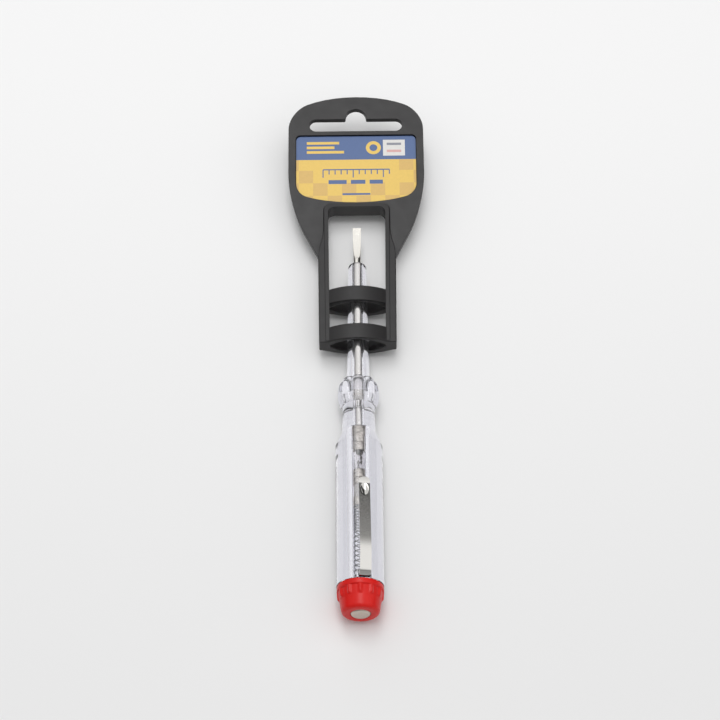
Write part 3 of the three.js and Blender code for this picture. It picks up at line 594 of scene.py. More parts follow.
# Nickel wire with a grey emission coating, mottled every 0.4 mm where it has been heated in use.
electrode_wire, tree, shader, place = new_material("coated nickel wire")
grain = add(tree, "TexNoise", {"Vector": place, "Scale": 2.5 / MM, "Detail": 3.0})
tone = add(tree, "MixRGB", {"Fac": grain, "Color1": ink("#4d4540"), "Color2": ink("#8d857e")})
fill(tree, shader, {"Base Color": tone, "Metallic": 1.0, "Roughness": 0.5})
ELECTRODE_RADIUS = 0.22
ELECTRODE_SPREAD = 0.5
ELECTRODE_REACH = 6.2
CRIMPS = 4
CRIMP_PITCH = 1.5
CRIMP_RADIUS = 0.45
CRIMP_HALF = 0.22
CRIMP_ROUND = 0.08
ELECTRODE_STEPS = 24
for name, side, rear_y in (
    ("lamp_electrode_front", 1, glass_front_y - GLASS_WALL - SEAT - ELECTRODE_REACH),
    ("lamp_electrode_rear", -1, glass_rear_y),
):
    profile = [(0, rear_y), (ELECTRODE_RADIUS, rear_y, FINE_EDGE)]
    for crimp in range(CRIMPS):
        y = rear_y + CRIMP_PITCH * (crimp + 0.5)
        profile += [
            (ELECTRODE_RADIUS, y - CRIMP_HALF),
            (CRIMP_RADIUS, y - CRIMP_HALF, CRIMP_ROUND),
            (CRIMP_RADIUS, y + CRIMP_HALF, CRIMP_ROUND),
            (ELECTRODE_RADIUS, y + CRIMP_HALF),
        ]
    end_y = rear_y + ELECTRODE_REACH
    profile += [(ELECTRODE_RADIUS, end_y), (0, end_y)]
    electrode = turned(profile, ELECTRODE_STEPS)
    bmesh.ops.translate(electrode, vec=(side * ELECTRODE_SPREAD, 0, 0), verts=electrode.verts)
    finished(electrode, f"{name}_wire", "handle", electrode_wire, [name])

# Fired ceramic with a matt grain, drawn at 0.3 mm so that it shows.
fired_ceramic, tree, shader, place = new_material("fired grey ceramic")
grain = add(tree, "TexNoise", {"Vector": place, "Scale": 3.5 / MM, "Detail": 4.0})
tone = add(tree, "MixRGB", {"Fac": grain, "Color1": ink("#c4bfb8"), "Color2": ink("#dedad4")})
bump = add(tree, "Bump", {"Height": grain, "Strength": 0.3, "Distance": 0.00005})
fill(tree, shader, {"Base Color": tone, "Roughness": 0.6, "Normal": bump})
ceramic_radius = PART_RADIUS - RESISTOR_CAP_WALL - SEAT
ceramic_front_y = RESISTOR_FRONT_Y - RESISTOR_CAP_FLOOR - SEAT
ceramic_rear_y = RESISTOR_REAR_Y + RESISTOR_CAP_FLOOR + SEAT
ceramic = turned(
    [
        (0, ceramic_rear_y),
        (ceramic_radius, ceramic_rear_y, FINE_EDGE),
        (ceramic_radius, ceramic_front_y, FINE_EDGE),
        (0, ceramic_front_y),
    ],
    SMALL_STEPS,
)
finished(ceramic, "ceramic_body", "handle", fired_ceramic, ["resistor_body"])


# Contact spring
# One drawn steel wire, close-wound at the resistor and open towards the touch contact, with both
# ends turned straight. It grows as the cap is unscrewed.

SPRING_WIRE = 0.45
SPRING_REAR_Y = 3.65
SPRING_FRONT_Y = 35.1
CLOSE_CURLS = 9
CLOSE_PITCH = 0.95
OPEN_CURLS = 14
WIRE_SIDES = 12
CURL_STEPS = 32

# Drawn spring wire: a dull grey metal whose gloss changes every half millimetre.
spring_steel, tree, shader, place = new_material("drawn spring wire")
grain = add(tree, "TexNoise", {"Vector": place, "Scale": 1.8 / MM, "Detail": 2.0})
rough = add(tree, "MapRange", {"Value": grain, "To Min": 0.18, "To Max": 0.38})
fill(tree, shader, {"Base Color": ink("#9a9b9f"), "Metallic": 1.0, "Roughness": rough})

coil_radius = PART_RADIUS - SPRING_WIRE / 2
coil_rear_y = SPRING_REAR_Y + SPRING_WIRE / 2
coil_front_y = SPRING_FRONT_Y - SPRING_WIRE / 2
open_pitch = (coil_front_y - CLOSE_CURLS * CLOSE_PITCH - coil_rear_y) / OPEN_CURLS
spring = bmesh.new()
bmesh.ops.create_circle(spring, cap_ends=True, radius=SPRING_WIRE / 2, segments=WIRE_SIDES)
bmesh.ops.rotate(
    spring, cent=(0, 0, 0), matrix=Matrix.Rotation(math.pi / 2, 3, "Y"), verts=spring.verts
)
bmesh.ops.translate(spring, vec=(0, coil_rear_y, coil_radius), verts=spring.verts)
tip = None
for curls, pitch in ((OPEN_CURLS, open_pitch), (CLOSE_CURLS, CLOSE_PITCH)):
    tip = sweep(spring, curls * FULL_TURN, curls * CURL_STEPS, (0, curls * pitch, 0), tip)
bmesh.ops.recalc_face_normals(spring, faces=spring.faces)
coil = finished(spring, "wound_spring", "handle", spring_steel, ["contact_spring"])


# Touch contact and washer
# A pressed metal rivet through the cap's end, closed over a small washer inside. The finger
# touches its flat head.

# Pressed nickel silver: a warm grey with slanting scratches from fingers and pockets, 0.25 mm
# apart and 2.5 mm long.
contact_metal, tree, shader, place = new_material("pressed nickel silver")
slanted = {"Vector": place, "Rotation": (0, 0.6, 0), "Scale": Vector((0.4, 0.4, 4)) / MM}
drawn = add(tree, "Mapping", slanted)
scratch = add(tree, "TexNoise", {"Vector": drawn, "Scale": 1.0, "Detail": 4.0})
rough = add(
    tree,
    "MapRange",
    {"Value": scratch, "From Min": 0.3, "From Max": 0.7, "To Min": 0.25, "To Max": 0.5},
)
bump = add(tree, "Bump", {"Height": scratch, "Strength": 0.25, "Distance": 0.00003})
fill(
    tree,
    shader,
    {"Base Color": ink("#c9bfb4"), "Metallic": 1.0, "Roughness": rough, "Normal": bump},
)
HEAD_RADIUS = 2.95
HEAD_THICKNESS = 0.55
HEAD_FLAT_RADIUS = 2.3
HEAD_FLAT_ROUND = 0.3
HEAD_SHOULDER_RADIUS = 2.75
HEAD_SHOULDER_Y = 0.2
HEAD_SIDE_Y = 0.45
STEM_RADIUS = 1.2
STEM_PLAY = 0.1
STEM_TAIL_RADIUS = 1.6
WASHER_REAR_Y = 2.55
WASHER_FRONT_Y = 2.95
WASHER_RADIUS = 1.95
RIVET_TAIL_Y = 3.0
RIVET_END_Y = 3.6
RIVET_TAIL_ROUND = 0.15
RIVET_END_ROUND = 0.3
RIVET_STEPS = 64
rivet = turned(
    [
        (0, 0),
        (HEAD_FLAT_RADIUS, 0, HEAD_FLAT_ROUND),
        (HEAD_SHOULDER_RADIUS, HEAD_SHOULDER_Y, EDGE),
        (HEAD_RADIUS, HEAD_SIDE_Y, FINE_EDGE),
        (HEAD_RADIUS, HEAD_THICKNESS, THIN_EDGE),
        (STEM_RADIUS, HEAD_THICKNESS),
        (STEM_RADIUS, RIVET_TAIL_Y),
        (STEM_TAIL_RADIUS, RIVET_TAIL_Y, RIVET_TAIL_ROUND),
        (STEM_TAIL_RADIUS, RIVET_END_Y, RIVET_END_ROUND),
        (0, RIVET_END_Y),
    ],
    RIVET_STEPS,
)
finished(rivet, "touch_rivet", "end_contact", contact_metal, ["contact_rivet"])
washer = turned(
    [
        (STEM_RADIUS + STEM_PLAY, WASHER_REAR_Y, THIN_EDGE),
        (WASHER_RADIUS, WASHER_REAR_Y, THIN_EDGE),
        (WASHER_RADIUS, WASHER_FRONT_Y, FINE_EDGE),
        (STEM_RADIUS + STEM_PLAY, WASHER_FRONT_Y, THIN_EDGE),
    ],
    SMALL_STEPS,
    closed=True,
)
finished(washer, "pressed_washer", "end_contact", dull_plate, ["rivet_washer"])

# The spring is taken off the handle's body and its place is baked into its mesh. In the tester its
# front end stays in the handle and its rear end follows the touch contact.
coil.parent = None
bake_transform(coil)


# End cap
# A red moulded screw cap: a smooth round nose, then a wider skirt with twelve ribs that end
# square at the step, and a plain rim. It turns on the handle's tail.

CAP_END_Y = 0.3
CAP_STEP_Y = 4.3
CAP_RIM_Y = 9.0
CAP_RIM_LENGTH = 1.6
HEAD_SEAT_Y = 0.6
HEAD_WELL_ROUND = 0.15
NOSE_END_RADIUS = 5.6
NOSE_RADIUS = 6.2
NOSE_ROUND = 1.1
NOSE_TOP = 0.1
SKIRT_LOW = 6.35
SKIRT_HIGH = 6.6
SKIRT_FOOT = 0.4
SKIRT_SWELL = 0.12
SKIRT_SWELL_LENGTH = 1.2
SKIRT_ROUND = 0.3
RIM_RADIUS = 7.05
RIM_SLOPE = 0.3
RIM_FOOT_ROUND = 0.15
RIBS = 12
RIB_HEIGHT = 0.42
RIB_SHARE = 0.55
RIB_RISE = 0.7
RIB_START = 0.01
RIB_END = 0.1
RIB_BELOW_RIM = 0.02
CAVITY_RADIUS = 4.7
CAVITY_FLOOR_Y = 2.5
CAVITY_ROUND = 0.3
CAP_STEPS = 360

rim_foot_y = CAP_RIM_Y - CAP_RIM_LENGTH
cap = turned(
    [
        (STEM_RADIUS + STEM_PLAY, HEAD_SEAT_Y),
        (HEAD_RADIUS + STEM_PLAY, HEAD_SEAT_Y),
        (HEAD_RADIUS + STEM_PLAY, CAP_END_Y, HEAD_WELL_ROUND),
        (NOSE_END_RADIUS, CAP_END_Y, NOSE_ROUND),
        (NOSE_RADIUS, CAP_STEP_Y - NOSE_TOP, SKIRT_ROUND),
        (SKIRT_LOW, CAP_STEP_Y + SKIRT_FOOT, SKIRT_ROUND),
        (SKIRT_LOW + SKIRT_SWELL, CAP_STEP_Y + SKIRT_SWELL_LENGTH),
        (SKIRT_HIGH, rim_foot_y - RIM_SLOPE),
        (RIM_RADIUS, rim_foot_y, RIM_FOOT_ROUND),
        (RIM_RADIUS, CAP_RIM_Y, EDGE),
        (CAVITY_RADIUS, CAP_RIM_Y, CAVITY_ROUND),
        (CAVITY_RADIUS, CAVITY_FLOOR_Y, CAVITY_ROUND),
        (STEM_RADIUS + STEM_PLAY, CAVITY_FLOOR_Y),
    ],
    CAP_STEPS,
    closed=True,
)

# Each rib is a narrow rounded ridge, drawn out of the skirt.
for vert in cap.verts:
    radius = math.hypot(vert.co.x, vert.co.z)
    along_rib = CAP_STEP_Y + RIB_START < vert.co.y < rim_foot_y - RIB_END
    if along_rib and radius > NOSE_RADIUS:
        turn = math.atan2(vert.co.x, vert.co.z) * RIBS / FULL_TURN
        from_rib = abs(turn - round(turn)) * 2
        ridge = RIB_HEIGHT * math.cos(min(1.0, from_rib / RIB_SHARE) * math.pi / 2) ** 2
        risen = min(1.0, (vert.co.y - CAP_STEP_Y) / RIB_RISE)
        share = max(1.0, min(radius + ridge * risen, RIM_RADIUS - RIB_BELOW_RIM) / radius)
        vert.co.x *= share
        vert.co.z *= share

# Red moulded plastic with a semi gloss skin. Its grain, drawn at 0.4 mm so that it shows, and
# faint changes of tone over 6 mm keep it from looking like paint.
red_plastic, tree, shader, place = new_material("red moulded plastic")
grain = add(tree, "TexNoise", {"Vector": place, "Scale": 2.6 / MM, "Detail": 2.0})
sinks = add(tree, "TexNoise", {"Vector": place, "Scale": 0.16 / MM, "Detail": 3.0})
risen = add(tree, "MapRange", {"Value": sinks, "From Min": 0.3, "From Max": 0.7})
tone = add(tree, "MixRGB", {"Fac": risen, "Color1": ink("#cf1914"), "Color2": ink("#db211c")})
bump = add(tree, "Bump", {"Height": grain, "Strength": 0.25, "Distance": 0.00003})
fill(
    tree,
    shader,
    {"Base Color": tone, "Roughness": 0.3, "IOR": 1.45, "Specular IOR Level": 0.3, "Normal": bump},
)
finished(cap, "red_screw_cap", "end_cap", red_plastic, ["end_cap"], 25)


# Pocket clip
# One strip of nickel-plated spring steel. Its foot hooks in the handle's pocket, and the strip
# runs forward over a flat to a pressed dimple that touches the handle and a turned-up lip.

CLIP_LEG_Y = 9.9
CLIP_THICKNESS = 0.5
CLIP_FOOT_LENGTH = 1.4
CLIP_FOOT_HEIGHT = 5.55
CLIP_BEND_HEIGHT = 8.37
CLIP_CREST_Y = 17.7
CLIP_CREST = 8.85
CLIP_CREST_SHARE = 0.2
CLIP_DIMPLE_HEIGHT = 7.75
CLIP_LENGTH = 32.3
CLIP_LIP_LENGTH = 3.0
CLIP_LIP_RISE = 0.5
CLIP_LIP_CURL = 1.0
LIP_START_SHARE = 1.13
CLIP_LEAN_HEIGHT = 7.1
CLIP_LEAN = 0.9
CLIP_FOLD_HEIGHT = 8.1
CLIP_FOLD_LENGTH = 0.6
FOLD_CORNER_SHARE = 0.25
CLIP_END_ROUND = 1.3
CLIP_SIDE_STEPS = 28
DIMPLE_HALF_WIDTH = 1.2
DIMPLE_HALF_LENGTH = 2.1
DIMPLE_DEPTH = 0.5
POINT_GAP = 1e-3

clip_lip_y = CLIP_LEG_Y + CLIP_LENGTH
dimple_y = clip_lip_y - CLIP_LIP_LENGTH - DIMPLE_HALF_LENGTH / 2


def curve_point(points, share):
    """A point on a Bezier curve of any order."""
    points = [Vector(point) for point in points]
    while len(points) > 1:
        points = [a.lerp(b, share) for a, b in zip(points, points[1:])]
    return points[0]


# The strip's middle line, as (y, height) points: each bend or straight is a curve with its number
# of steps. The arm in front of the crest has many, because they draw the dimple's edge.
fold_start = (CLIP_LEG_Y + CLIP_LEAN, CLIP_FOLD_HEIGHT)
fold_corner_y = fold_start[0] + CLIP_FOLD_LENGTH * FOLD_CORNER_SHARE
fold_end = Vector((fold_start[0] + CLIP_FOLD_LENGTH, CLIP_BEND_HEIGHT))
crest_top = Vector((CLIP_CREST_Y, CLIP_CREST))
dimple_top = Vector((dimple_y, CLIP_DIMPLE_HEIGHT))
crest_start = crest_top.lerp(fold_end, CLIP_CREST_SHARE)
crest_end = crest_top.lerp(dimple_top, CLIP_CREST_SHARE)
lip_start = crest_end.lerp(dimple_top, LIP_START_SHARE)
foot_bend = [
    (CLIP_LEG_Y + CLIP_THICKNESS, CLIP_FOOT_HEIGHT),
    (CLIP_LEG_Y, CLIP_FOOT_HEIGHT),
    (CLIP_LEG_Y, CLIP_FOOT_HEIGHT + CLIP_THICKNESS),
]
lip = [
    lip_start,
    (clip_lip_y - CLIP_LIP_CURL, lip_start.y),
    (clip_lip_y, CLIP_DIMPLE_HEIGHT + CLIP_LIP_RISE),
]
line = [Vector((CLIP_LEG_Y + CLIP_FOOT_LENGTH, CLIP_FOOT_HEIGHT))]
for bend, steps in (
    (foot_bend, 6),
    ([(CLIP_LEG_Y, CLIP_LEAN_HEIGHT), fold_start], 6),
    ([fold_start, (fold_corner_y, CLIP_BEND_HEIGHT), fold_end], 10),
    ([fold_end, crest_start], 16),
    ([crest_start, crest_top, crest_end], 12),
    ([crest_end, lip_start], 90),
    (lip, 24),
):
    for step in range(steps + 1):
        point = curve_point(bend, step / steps)
        if (point - line[-1]).length > POINT_GAP:
            line.append(point)

strip = rounded_wire([(-CLIP_WIDTH / 2, point.x, point.y) for point in line], closed=False)
sweep(strip, 0, CLIP_SIDE_STEPS, (CLIP_WIDTH, 0, 0))
bmesh.ops.recalc_face_normals(strip, faces=strip.faces)

# The strip's far end is drawn in to a round, and the dimple is pressed down.
round_start_y = clip_lip_y - CLIP_END_ROUND
for vert in strip.verts:
    into_round = max(0.0, vert.co.y - round_start_y) / CLIP_END_ROUND
    narrowing = CLIP_END_ROUND * (1 - math.sqrt(max(0.0, 1 - into_round**2)))
    vert.co.x *= 1 - narrowing / (CLIP_WIDTH / 2)
    across = vert.co.x / DIMPLE_HALF_WIDTH
    along = (vert.co.y - dimple_y) / DIMPLE_HALF_LENGTH
    from_middle = math.hypot(across, along)
    if from_middle < 1:
        vert.co.z -= DIMPLE_DEPTH * (1 - from_middle**2)
strip.normal_update()
for vert in strip.verts:
    vert.co += vert.normal * CLIP_THICKNESS / 2
bmesh.ops.solidify(strip, geom=strip.faces[:], thickness=CLIP_THICKNESS)
bmesh.ops.rotate(strip, cent=(0, 0, 0), matrix=clip_side, verts=strip.verts)

# Nickel-plated spring strip, rolled bright. It mirrors the room, broken by scratches 0.2 mm apart
# along its length and dull spots of 0.4 mm. Below the top of its leg the strip is painted dark, as
# shade for the crevice behind its foot.
# Painted shade: between these heights the dark painted in the crevice behind the foot fades out.
shade_fade_start = TOOL_TO_ROW @ Vector((0, 0, CLIP_LEAN_HEIGHT - CLIP_THICKNESS))
shade_fade_end = TOOL_TO_ROW @ Vector((0, 0, CLIP_LEAN_HEIGHT))
nickel_steel, tree, shader, place = new_material("rolled nickel-plated strip")
spots = add(tree, "TexNoise", {"Vector": place, "Scale": 2.4 / MM, "Detail": 4.0})
rolled = add(tree, "Mapping", {"Vector": place, "Scale": Vector((5, 0.25, 5)) / MM})
lines = add(tree, "TexNoise", {"Vector": rolled, "Scale": 1.0, "Detail": 2.0})
rough = add(
    tree,
    "MapRange",
    {"Value": spots, "From Min": 0.35, "From Max": 0.65, "To Min": 0.08, "To Max": 0.14},
)
bump = add(tree, "Bump", {"Height": lines, "Strength": 0.08, "Distance": 0.00002})
height = add(tree, "SeparateXYZ", {0: place})
out_of_painted_shade = add(
    tree,
    "MapRange",
    {"Value": height.outputs["Z"], "From Min": shade_fade_start.z, "From Max": shade_fade_end.z},
    interpolation_type="SMOOTHSTEP",
)
# Painted shade: the strip is dark below the top of its leg and bright nickel above it.
tone = add(tree, "MixRGB", {"Fac": out_of_painted_shade, "Color1": ink("#232120"), "Color2": ink("#dcdad6")})
fill(tree, shader, {"Base Color": tone, "Metallic": 1.0, "Roughness": rough, "Normal": bump})
finished(strip, "spring_clip", "clip", nickel_steel, ["pocket_clip"], 40)


# Hanger
# One black moulding: a frame round the window with a low bead, two pairs of arches that hold the
# shank like belt loops, and a sloping head plate with a Euro slot and a recess for the card.

HANGER_NEAR_Y = 94.2
RAIL_NEAR_HALF = 12.27
RAIL_FAR_HALF = 12.65
RAIL_BEND_Y = 130.2
RIM_BEND_Y = 136.0
RAIL_BEND_ROUND = 2.9
RIM_HALF = 10.95
RIM_CORNER = 2.4
FRAME_FAR_Y = 148.55
FRAME_DEPTH = 5.0
FRAME_EDGE = 0.35
WINDOW_FAR_Y = 147.1
WINDOW_NEAR_HALF = 8.85
WINDOW_FAR_HALF = 9.4
WINDOW_CORNER = 2.2
BEAD_WIDTH = 1.4
BEAD_HEIGHT = 0.2
OUTLINE_SEGMENTS = 10
SOFTEN_ANGLE = math.radians(50)


def soften(bm, edge):
    """Rounds each outward edge that turns by more than the softening angle."""
    sharp = [part for part in bm.edges if part.calc_face_angle_signed(0) > SOFTEN_ANGLE]
    bmesh.ops.bevel(
        bm,
        geom=sharp,
        offset=edge,
        segments=3,
        profile=0.5,
        affect="EDGES",
        material=-1,
        clamp_overlap=True,
    )


def slab(right, low, high):
    """A flat body between two heights, from the corners of its outline's right side."""
    left = [(-x, *rest) for x, *rest in reversed(right) if x]
    corners = [(x, y, low, *rounding) for x, y, *rounding in right + left]
    bm = rounded_wire(corners, segments=OUTLINE_SEGMENTS)
    bmesh.ops.edgeloop_fill(bm, edges=bm.edges[:])
    extrude(bm, (0, 0, high - low))
    return bm


# The head plate is drawn flat, with s running from the window's far edge, and then tilted.
PLATE_TILT = math.radians(7.5)
PLATE_THICKNESS = 2.0
PLATE_HEIGHT = 2.3
PLATE_TAIL_HALF = 10.2
PLATE_TAIL = -23.5
PLATE_HALF = 22.5
PLATE_LOW = 1.22
PLATE_LOW_ROUND = 11.7
PLATE_HIGH = 36.7
PLATE_HIGH_ROUND = 6.7
PLATE_TOP = 46.27
PLATE_TOP_ROUND = 17.4
SLOT_HALF = 15.5
SLOT_LOW = 29.0
SLOT_HIGH = 33.6
SLOT_ROUND = 2.29
PEAK_HALF = 3.4
PEAK_TOP = 37.5
PEAK_ROUND = 3.39
PEAK_FOOT_ROUND = 0.49
LABEL_HALF = 20.05
LABEL_TOP = 27.5
LABEL_TOP_ROUND = 1.5
LABEL_CORNER = 5.19
LABEL_CORNER_ROUND = 4.0
LABEL_BOW = -0.9
LABEL_BOW_ROUND = 16.3
RECESS_DEPTH = 1.15
CUT_EDGE = 0.25

plate_place = Matrix.Translation((0, WINDOW_FAR_Y, PLATE_HEIGHT))
plate_frame = plate_place @ Matrix.Rotation(PLATE_TILT, 4, "X")


def label_outline(inset):
    """Straight sides, small top corners and a bowed lower edge."""
    return [
        (0, LABEL_BOW + inset, LABEL_BOW_ROUND),
        (LABEL_HALF - inset, LABEL_CORNER + inset, LABEL_CORNER_ROUND),
        (LABEL_HALF - inset, LABEL_TOP - inset, LABEL_TOP_ROUND),
    ]


plate_outline = [
    (PLATE_TAIL_HALF, PLATE_TAIL),
    (PLATE_HALF, PLATE_LOW, PLATE_LOW_ROUND),
    (PLATE_HALF, PLATE_HIGH, PLATE_HIGH_ROUND),
    (0, PLATE_TOP, PLATE_TOP_ROUND),
]
slot_outline = [
    (SLOT_HALF, SLOT_LOW, SLOT_ROUND),
    (SLOT_HALF, SLOT_HIGH, SLOT_ROUND),
    (PEAK_HALF, SLOT_HIGH, PEAK_FOOT_ROUND),
    (PEAK_HALF, PEAK_TOP, PEAK_ROUND),
]
plate = slab(plate_outline, -PLATE_THICKNESS, 0)
slot = slab(slot_outline, -PLATE_THICKNESS - OVERRUN, OVERRUN)
plate = combined(plate, slot, "DIFFERENCE")
plate = combined(plate, slab(label_outline(0), -RECESS_DEPTH, OVERRUN), "DIFFERENCE")
soften(plate, CUT_EDGE)
bmesh.ops.transform(plate, matrix=plate_frame, verts=plate.verts)

frame_outline = [
    (RAIL_NEAR_HALF, HANGER_NEAR_Y),
    (RAIL_FAR_HALF, RAIL_BEND_Y, RAIL_BEND_ROUND),
    (RIM_HALF, RIM_BEND_Y, RAIL_BEND_ROUND),
    (RIM_HALF, FRAME_FAR_Y, RIM_CORNER),
]
bead_outline = [
    (WINDOW_NEAR_HALF + BEAD_WIDTH, HANGER_NEAR_Y + FRAME_EDGE),
    (WINDOW_FAR_HALF + BEAD_WIDTH, WINDOW_FAR_Y + BEAD_WIDTH, RIM_CORNER),
]
window_outline = [
    (WINDOW_NEAR_HALF, HANGER_NEAR_Y - OVERRUN),
    (WINDOW_FAR_HALF, WINDOW_FAR_Y, WINDOW_CORNER),
]
frame_block = slab(frame_outline, -FRAME_DEPTH / 2, FRAME_DEPTH / 2)
soften(frame_block, FRAME_EDGE)
bead = slab(bead_outline, 0, FRAME_DEPTH / 2 + BEAD_HEIGHT)
soften(bead, BEAD_HEIGHT)
window = slab(window_outline, -2 * FRAME_DEPTH, 2 * FRAME_DEPTH)
moulding = combined(plate, frame_block, "UNION")
moulding = combined(moulding, bead, "UNION")
moulding = combined(moulding, window, "DIFFERENCE")

ARCH_WIDTH = 5.6
ARCH_PITCH = 14.4
ARCH_THICKNESS = 1.4
ARCH_OUTER = 5.006
ARCH_FOOT = 2.45
ARCH_EDGE = 0.35
ARCH_STEPS = 48
ARCH_FLOW = 0.25
FRONT_ARCH_HALF = 9.6
BACK_ARCH_HALF = 11.6


def arch(near_y, half, side):
    """A strap over the shank. It flows level into the rails, and its underside closes on them."""
    rise = ARCH_OUTER - ARCH_FOOT
    radius = (half**2 + rise**2) / (2 * rise)
    inner = ARCH_FOOT - ARCH_THICKNESS
    hollow = ARCH_OUTER - ARCH_THICKNESS
    hollow_radius = (WINDOW_NEAR_HALF**2 + hollow**2) / (2 * hollow)
    far_y = near_y + ARCH_WIDTH
    corners = [(near_y, inner), (near_y, ARCH_FOOT), (far_y, ARCH_FOOT), (far_y, inner)]
    reach = RAIL_NEAR_HALF - FRAME_EDGE
    bm = rounded_wire([(-reach, y, z, ARCH_EDGE) for y, z in corners])
    bmesh.ops.edgeloop_fill(bm, edges=bm.edges[:])
    sweep(bm, 0, ARCH_STEPS, (2 * reach, 0, 0))
    for vert in bm.verts:
        above = math.sqrt(radius**2 - vert.co.x**2) - radius + rise
        top = ARCH_FOOT + (above + math.hypot(above, ARCH_FLOW)) / 2
        open_to = math.sqrt(max(0.0, hollow_radius**2 - vert.co.x**2)) - hollow_radius + hollow
        bottom = max(0.0, open_to)
        share = (vert.co.z - inner) / ARCH_THICKNESS
        vert.co.z = (bottom + share * (top - bottom)) * side
    bmesh.ops.recalc_face_normals(bm, faces=bm.faces)
    return bm


for near_y in (HANGER_NEAR_Y, HANGER_NEAR_Y + ARCH_PITCH):
    for half, side in ((FRONT_ARCH_HALF, 1), (BACK_ARCH_HALF, -1)):
        moulding = combined(moulding, arch(near_y, half, side), "UNION")

# Black moulded plastic with a fine spark-eroded grain, drawn at 0.17 mm so that it shows, and a
# mottle of 3 mm where it has been handled.
black_plastic, tree, shader, place = new_material("black moulded plastic")
grain = add(tree, "TexNoise", {"Vector": place, "Scale": 6 / MM, "Detail": 2.0})
handled = add(tree, "TexNoise", {"Vector": place, "Scale": 0.3 / MM, "Detail": 3.0})
rough = add(
    tree,
    "MapRange",
    {"Value": handled, "From Min": 0.3, "From Max": 0.7, "To Min": 0.42, "To Max": 0.48},
)
bump = add(tree, "Bump", {"Height": grain, "Strength": 0.3, "Distance": 0.00005})
fill(tree, shader, {"Base Color": ink("#161415"), "IOR": 1.5, "Roughness": rough, "Normal": bump})
hanger = finished(
    moulding, "moulded_hanger", "hanger", black_plastic, ["hanger_body"], 35
)

# Wide faces keep their own normals, so the rounded edges round them don't shade them.
even = hanger.modifiers.new("even faces", "WEIGHTED_NORMAL")
even.keep_sharp = True


# Label card
# A printed and varnished card, glued in the recess: a blue band over a yellow field with pale
# squares. Plain bars and a ring stand where such a card has its words.

CARD_INSET = 0.15
CARD_THICKNESS = 0.3

card_back = CARD_INSET - RECESS_DEPTH
card_face = card_back + CARD_THICKNESS
card = slab(label_outline(CARD_INSET), card_back, card_face)
bmesh.ops.transform(card, matrix=plate_frame, verts=card.verts)

# Inks on card under varnish: flat colours with a faint print mottle of 0.7 mm, and a soft even
# gloss. The coordinates are turned into the card's own millimetres.
printed_card, tree, shader, place = new_material("printed varnished card")
card_origin = TOOL_TO_ROW @ plate_frame.translation
on_card = add(
    tree,
    "Mapping",
    {
        "Vector": place,
        "Location": card_origin,
        "Rotation": (PLATE_TILT, 0, 0),
        "Scale": (MM, MM, MM),
    },
    vector_type="TEXTURE",
)
across = add(tree, "SeparateXYZ", {0: on_card})
x_mm = across.outputs["X"]
s_mm = across.outputs["Y"]


def within(source, middle, half):
    """A mask: 1 where a value lies no more than half from the middle value."""
    return add(tree, "Math", {0: source, 1: middle, 2: half}, operation="COMPARE")


def box_mask(x, s, half_x, half_s):
    """A mask: 1 inside a box on the card."""
    masks = {0: within(x_mm, x, half_x), 1: within(s_mm, s, half_s)}
    return add(tree, "Math", masks, operation="MULTIPLY")


def printed(under, colour, mask):
    """One ink over another through a mask."""
    return add(tree, "MixRGB", {"Fac": mask, "Color1": under, "Color2": colour})


YELLOW = ink("#e8c465")
PALE = ink("#d9b46a")
BLUE = ink("#546b98")
WHITE = ink("#dedcd9")
GREY = ink("#8d8f98")
ROSE = ink("#d8a7a4")
BAND_LOW = 18.4
BAND_HALF = 6
CELL = 4.76
RULE_S = 14.6
RULE_HALF = 11.0
RULE_HALF_LINE = 0.22
TICKS = 12
TICKS_PER_LONG = 5
TICK_HALF_LINE = 0.18
TICK_HALF = 0.9
LONG_TICK_HALF = 1.5
BARS_S = 9.9
BARS_HALF_LINE = 0.75
LINE_S = 5.3
LINE_HALF = 4.6
LINE_HALF_LINE = 0.35
ROWS_LEFT = -16.4
ROWS_S = 21.3
ROW_PITCH = 1.75
ROW_HALF_LINE = 0.5
CIRCLE_X = 5.8
CIRCLE_S = 22.9
CIRCLE_RADIUS = 1.9
CIRCLE_HALF_LINE = 0.6
PANEL_X = 12.65

# Pale squares in a loose checker over the field.
squares = add(
    tree,
    "TexChecker",
    {"Vector": on_card, "Color1": (1, 1, 1, 1), "Color2": (0, 0, 0, 1), "Scale": 1 / CELL},
)
look = printed(YELLOW, PALE, squares.outputs["Fac"])
look = printed(look, YELLOW, box_mask(0, 3 * CELL, 3 * CELL, CELL))

# A blue rule with ticks, three short bars under it, and a thin line below them.
look = printed(look, BLUE, box_mask(0, RULE_S, RULE_HALF, RULE_HALF_LINE))
for tick in range(TICKS):
    half = TICK_HALF if tick % TICKS_PER_LONG else LONG_TICK_HALF
    x = RULE_HALF * (2 * tick / (TICKS - 1) - 1)
    look = printed(look, BLUE, box_mask(x, RULE_S - half, TICK_HALF_LINE, half))
for x, s, half_x, half_s in (
    (-6.2, BARS_S, 3.0, BARS_HALF_LINE),
    (0.6, BARS_S, 2.4, BARS_HALF_LINE),
    (6.6, BARS_S, 2.2, BARS_HALF_LINE),
    (0, LINE_S, LINE_HALF, LINE_HALF_LINE),
):
    look = printed(look, BLUE, box_mask(x, s, half_x, half_s))

# The blue band, with yellow bars, a yellow ring and a white panel.
look = printed(look, BLUE, box_mask(0, BAND_LOW + BAND_HALF, LABEL_HALF, BAND_HALF))
for row, half in enumerate((6.2, 4.6, 5.4)):
    bar = box_mask(ROWS_LEFT + half, ROWS_S + ROW_PITCH * row, half, ROW_HALF_LINE)
    look = printed(look, YELLOW, bar)
circle_middle = (CIRCLE_X, CIRCLE_S, card_face)
from_middle = add(tree, "VectorMath", {0: on_card, 1: circle_middle}, operation="DISTANCE")
circle = within(from_middle.outputs["Value"], CIRCLE_RADIUS, CIRCLE_HALF_LINE)
look = printed(look, YELLOW, circle)
for colour, s, half_x, half_s in (
    (WHITE, 22.85, 3.65, 3.05),
    (GREY, 24.3, 2.4, 0.45),
    (ROSE, 21.6, 2.4, 0.45),
):
    look = printed(look, colour, box_mask(PANEL_X, s, half_x, half_s))

